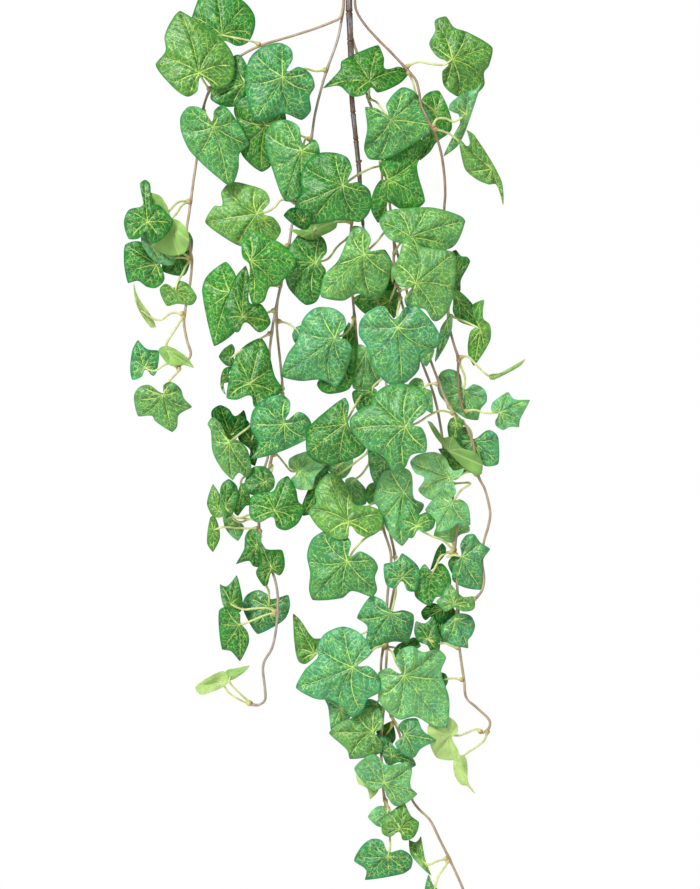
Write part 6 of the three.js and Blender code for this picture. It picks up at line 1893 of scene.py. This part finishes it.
@dataclass(frozen=True)
class MouldedPot:
    """Pot: polypropylene, injection moulded; sizes in millimetres.

    The mould's fine grain breaks the gloss to a soft shine, and light enters the wall a little.
    """

    body: str = "#e9e6df"
    grain: float = 1.0  # the real one is 0.2, drawn coarser so that it shows
    relief: float = 0.05
    relief_strength: float = 0.5
    roughness: float = 0.45
    entering_light: float = 0.05
    light_depth: float = 2

    def make(self) -> bpy.types.Material:
        """Builds the material.

        Returns:
            The material.
        """
        material, node = new_material("polypropylene, injection moulded")
        spot = node("TexCoord").outputs["Object"]
        grain = node("TexNoise", {"Vector": spot, "Scale": 1 / (self.grain * MM), "Detail": 2.0})
        bump = node("Bump", {"Height": grain, "Distance": self.relief * MM, "Strength": self.relief_strength})
        shader = node(
            "BsdfPrincipled",
            {"Base Color": linear(self.body), "Roughness": self.roughness, "Normal": bump,
             "Subsurface Weight": self.entering_light, "Subsurface Scale": self.light_depth * MM},
        )
        node("OutputMaterial", [shader])
        return material


@dataclass(frozen=True)
class Compost:
    """Soil: sieved potting compost, loosely filled; sizes in millimetres.

    It gives dark brown crumbs, quite matt, with paler fibres among them.
    """

    dark: str = "#2a1d14"
    pale: str = "#5a412d"
    crumb: float = 3.0
    crumb_height: float = 1.2
    fibre: float = 1.4
    relief: float = 1.5
    roughness: float = 0.95

    def make(self) -> bpy.types.Material:
        """Builds the material.

        Returns:
            The material.
        """
        material, node = new_material("potting compost, loose filled")
        spot = node("TexCoord").outputs["Object"]
        crumbs = node("TexVoronoi", {"Vector": spot, "Scale": 1 / (self.crumb * MM)})
        fine = node("TexNoise", {"Vector": spot, "Scale": 1 / (self.fibre * MM), "Detail": 4.0})
        colour = node("Mix", {0: crumbs.outputs[1], 6: linear(self.dark), 7: linear(self.pale)}, data_type="RGBA")
        height = node("Math.MULTIPLY_ADD", [crumbs, -self.crumb_height, fine])
        bump = node("Bump", {"Height": height, "Distance": self.relief * MM, "Strength": 1.0})
        shader = node("BsdfPrincipled", {"Base Color": colour.outputs[2], "Roughness": self.roughness, "Normal": bump})
        node("OutputMaterial", [shader])
        return material


@dataclass(frozen=True)
class PlatedWire:
    """Hanger: mild steel wire, drawn and zinc plated; sizes in millimetres.

    The plating gives a cool grey metal shine with dull clouds.
    """

    zinc: str = "#c9cbcc"
    cloud: float = 6.0
    roughness: Pair = (0.26, 0.42)

    def make(self) -> bpy.types.Material:
        """Builds the material.

        Returns:
            The material.
        """
        material, node = new_material("steel wire, zinc plated")
        spot = node("TexCoord").outputs["Object"]
        cloud = node("TexNoise", {"Vector": spot, "Scale": 1 / (self.cloud * MM), "Detail": 3.0})
        rough = node("MapRange", [cloud, *NOISE, *self.roughness])
        shader = node("BsdfPrincipled", {"Base Color": linear(self.zinc), "Metallic": 1.0, "Roughness": rough})
        node("OutputMaterial", [shader])
        return material


@dataclass(frozen=True)
class PaintedFloor:
    """Studio floor: plaster, painted matt, plain and pale."""

    paint: str = "#f2f1ee"
    roughness: float = 0.8

    def make(self) -> bpy.types.Material:
        """Builds the material.

        Returns:
            The material.
        """
        material, node = new_material("plaster, matt painted")
        shader = node("BsdfPrincipled", {"Base Color": linear(self.paint), "Roughness": self.roughness})
        node("OutputMaterial", [shader])
        return material


@dataclass(frozen=True)
class Studio:
    """Pale floor, soft light and the camera of the front view; sizes in metres, light in watts."""

    distance: float = 6.0
    sensor: float = 36  # millimetres
    floor: float = -1.6
    floor_radius: float = 4
    floor_sides: int = 96
    ambient: float = 0.44  # of the white that the camera sees
    lit: tuple[float, float, float] = (0, -0.08, -0.75)  # the middle of the plant
    light_colour: str = "#f8fbff"
    lights: tuple[tuple[str, tuple[float, float, float], float, float], ...] = (
        ("key", (-1.9, -3.0, 1.9), 1.2, 227),
        ("fill", (3.0, -3.2, 0.0), 2.0, 22),
        ("back", (1.8, 3.4, 1.2), 1.6, 85),
    )

    def build(self) -> None:
        """Sets the stage."""
        self.lay_floor()
        for light in self.lights:
            self.hang_light(*light)
        world = bpy.data.worlds.new("white room")
        world.use_nodes = True
        world.node_tree.nodes.clear()
        node = partial(add_node, world.node_tree)
        seen = node("LightPath")
        dim = node("Background", {"Color": linear("#ffffff"), "Strength": self.ambient})
        white = node("Background", {"Color": linear("#ffffff"), "Strength": 1.0})
        mix = node("MixShader", [seen, dim, white])
        node("OutputWorld", [mix])
        bpy.context.scene.world = world
        bpy.context.scene.view_settings.view_transform = "Standard"
        self.set_camera()

    def lay_floor(self) -> None:
        """Lays the floor, a plain disc."""
        turn = 2 * np.pi * np.arange(self.floor_sides) / self.floor_sides
        mesh = bpy.data.meshes.new("floor")
        rim = self.floor_radius * np.stack([np.cos(turn), np.sin(turn)], -1)
        verts = np.column_stack([rim, np.full(self.floor_sides, self.floor)])
        mesh.from_pydata(verts.tolist(), [], [list(range(self.floor_sides))])
        mesh.materials.append(PaintedFloor().make())
        floor = bpy.data.objects.new("floor", mesh)
        bpy.context.scene.collection.objects.link(floor)

    def hang_light(self, name: str, spot: tuple[float, float, float], size: float, power: float) -> None:
        """Hangs a square soft light that points at the middle of the plant.

        Args:
            name: Name of the light.
            spot: Its place in metres.
            size: Side in metres.
            power: Watts.
        """
        lamp = bpy.data.lights.new(name, "AREA")
        lamp.energy, lamp.size, lamp.color = power, size, linear(self.light_colour)[:3]
        piece = bpy.data.objects.new(name, lamp)
        piece.location = spot
        aim = np.array(self.lit) - np.array(spot)
        piece.rotation_euler = (
            math.pi / 2 + math.atan2(aim[2], math.hypot(aim[0], aim[1])), 0, math.atan2(aim[1], aim[0]) - math.pi / 2
        )
        bpy.context.scene.collection.objects.link(piece)

    def set_camera(self) -> None:
        """Sets the camera before the plant, level with the middle of the front view."""
        width, height = PHOTO_SIZE
        camera = bpy.data.cameras.new("front")
        camera.sensor_width = self.sensor
        camera.lens = self.sensor * self.distance / (height * MM)
        camera.clip_end = 100
        piece = bpy.data.objects.new("front", camera)
        across, down = width / 2 - PLUMB_ACROSS, height / 2 + CROWN_DROP
        piece.location = (across * MM, -POT_BEHIND * MM - self.distance, -down * MM)
        piece.rotation_euler = (math.pi / 2, 0, 0)
        bpy.context.scene.collection.objects.link(piece)
        bpy.context.scene.camera = piece


SPRAYS = {
    "left_outer_spray": ("left_outer",),
    "left_inner_spray": ("left_inner",),
    "right_outer_spray": ("right_outer",),
    "main_spray": ("centre", "centre_branch", "left_third", "right_mid", "middle", "middle_left"),
}


def main() -> None:
    """Builds every piece, dresses it and sets the stage."""
    logging.basicConfig(level=logging.INFO, format="%(message)s")
    plant = Plant()
    faces = [PrintedFabric().make(), PlainFabric().make()]
    stem = MouldedStem().make()
    for node, strands in SPRAYS.items():
        Stems(node.removesuffix("_spray"), strands, plant).build(stem, node)
        for strand in strands:
            leaves = plant.group(strand)
            if leaves:
                LeafCloth(strand, leaves).build(faces, node)
    pot = Pot()
    pot.build(MouldedPot().make())
    Soil(pot).build(Compost().make())
    Hanger(pot).build(PlatedWire().make())
    Studio().build()
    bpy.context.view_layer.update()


if __name__ == "__main__":
    main()
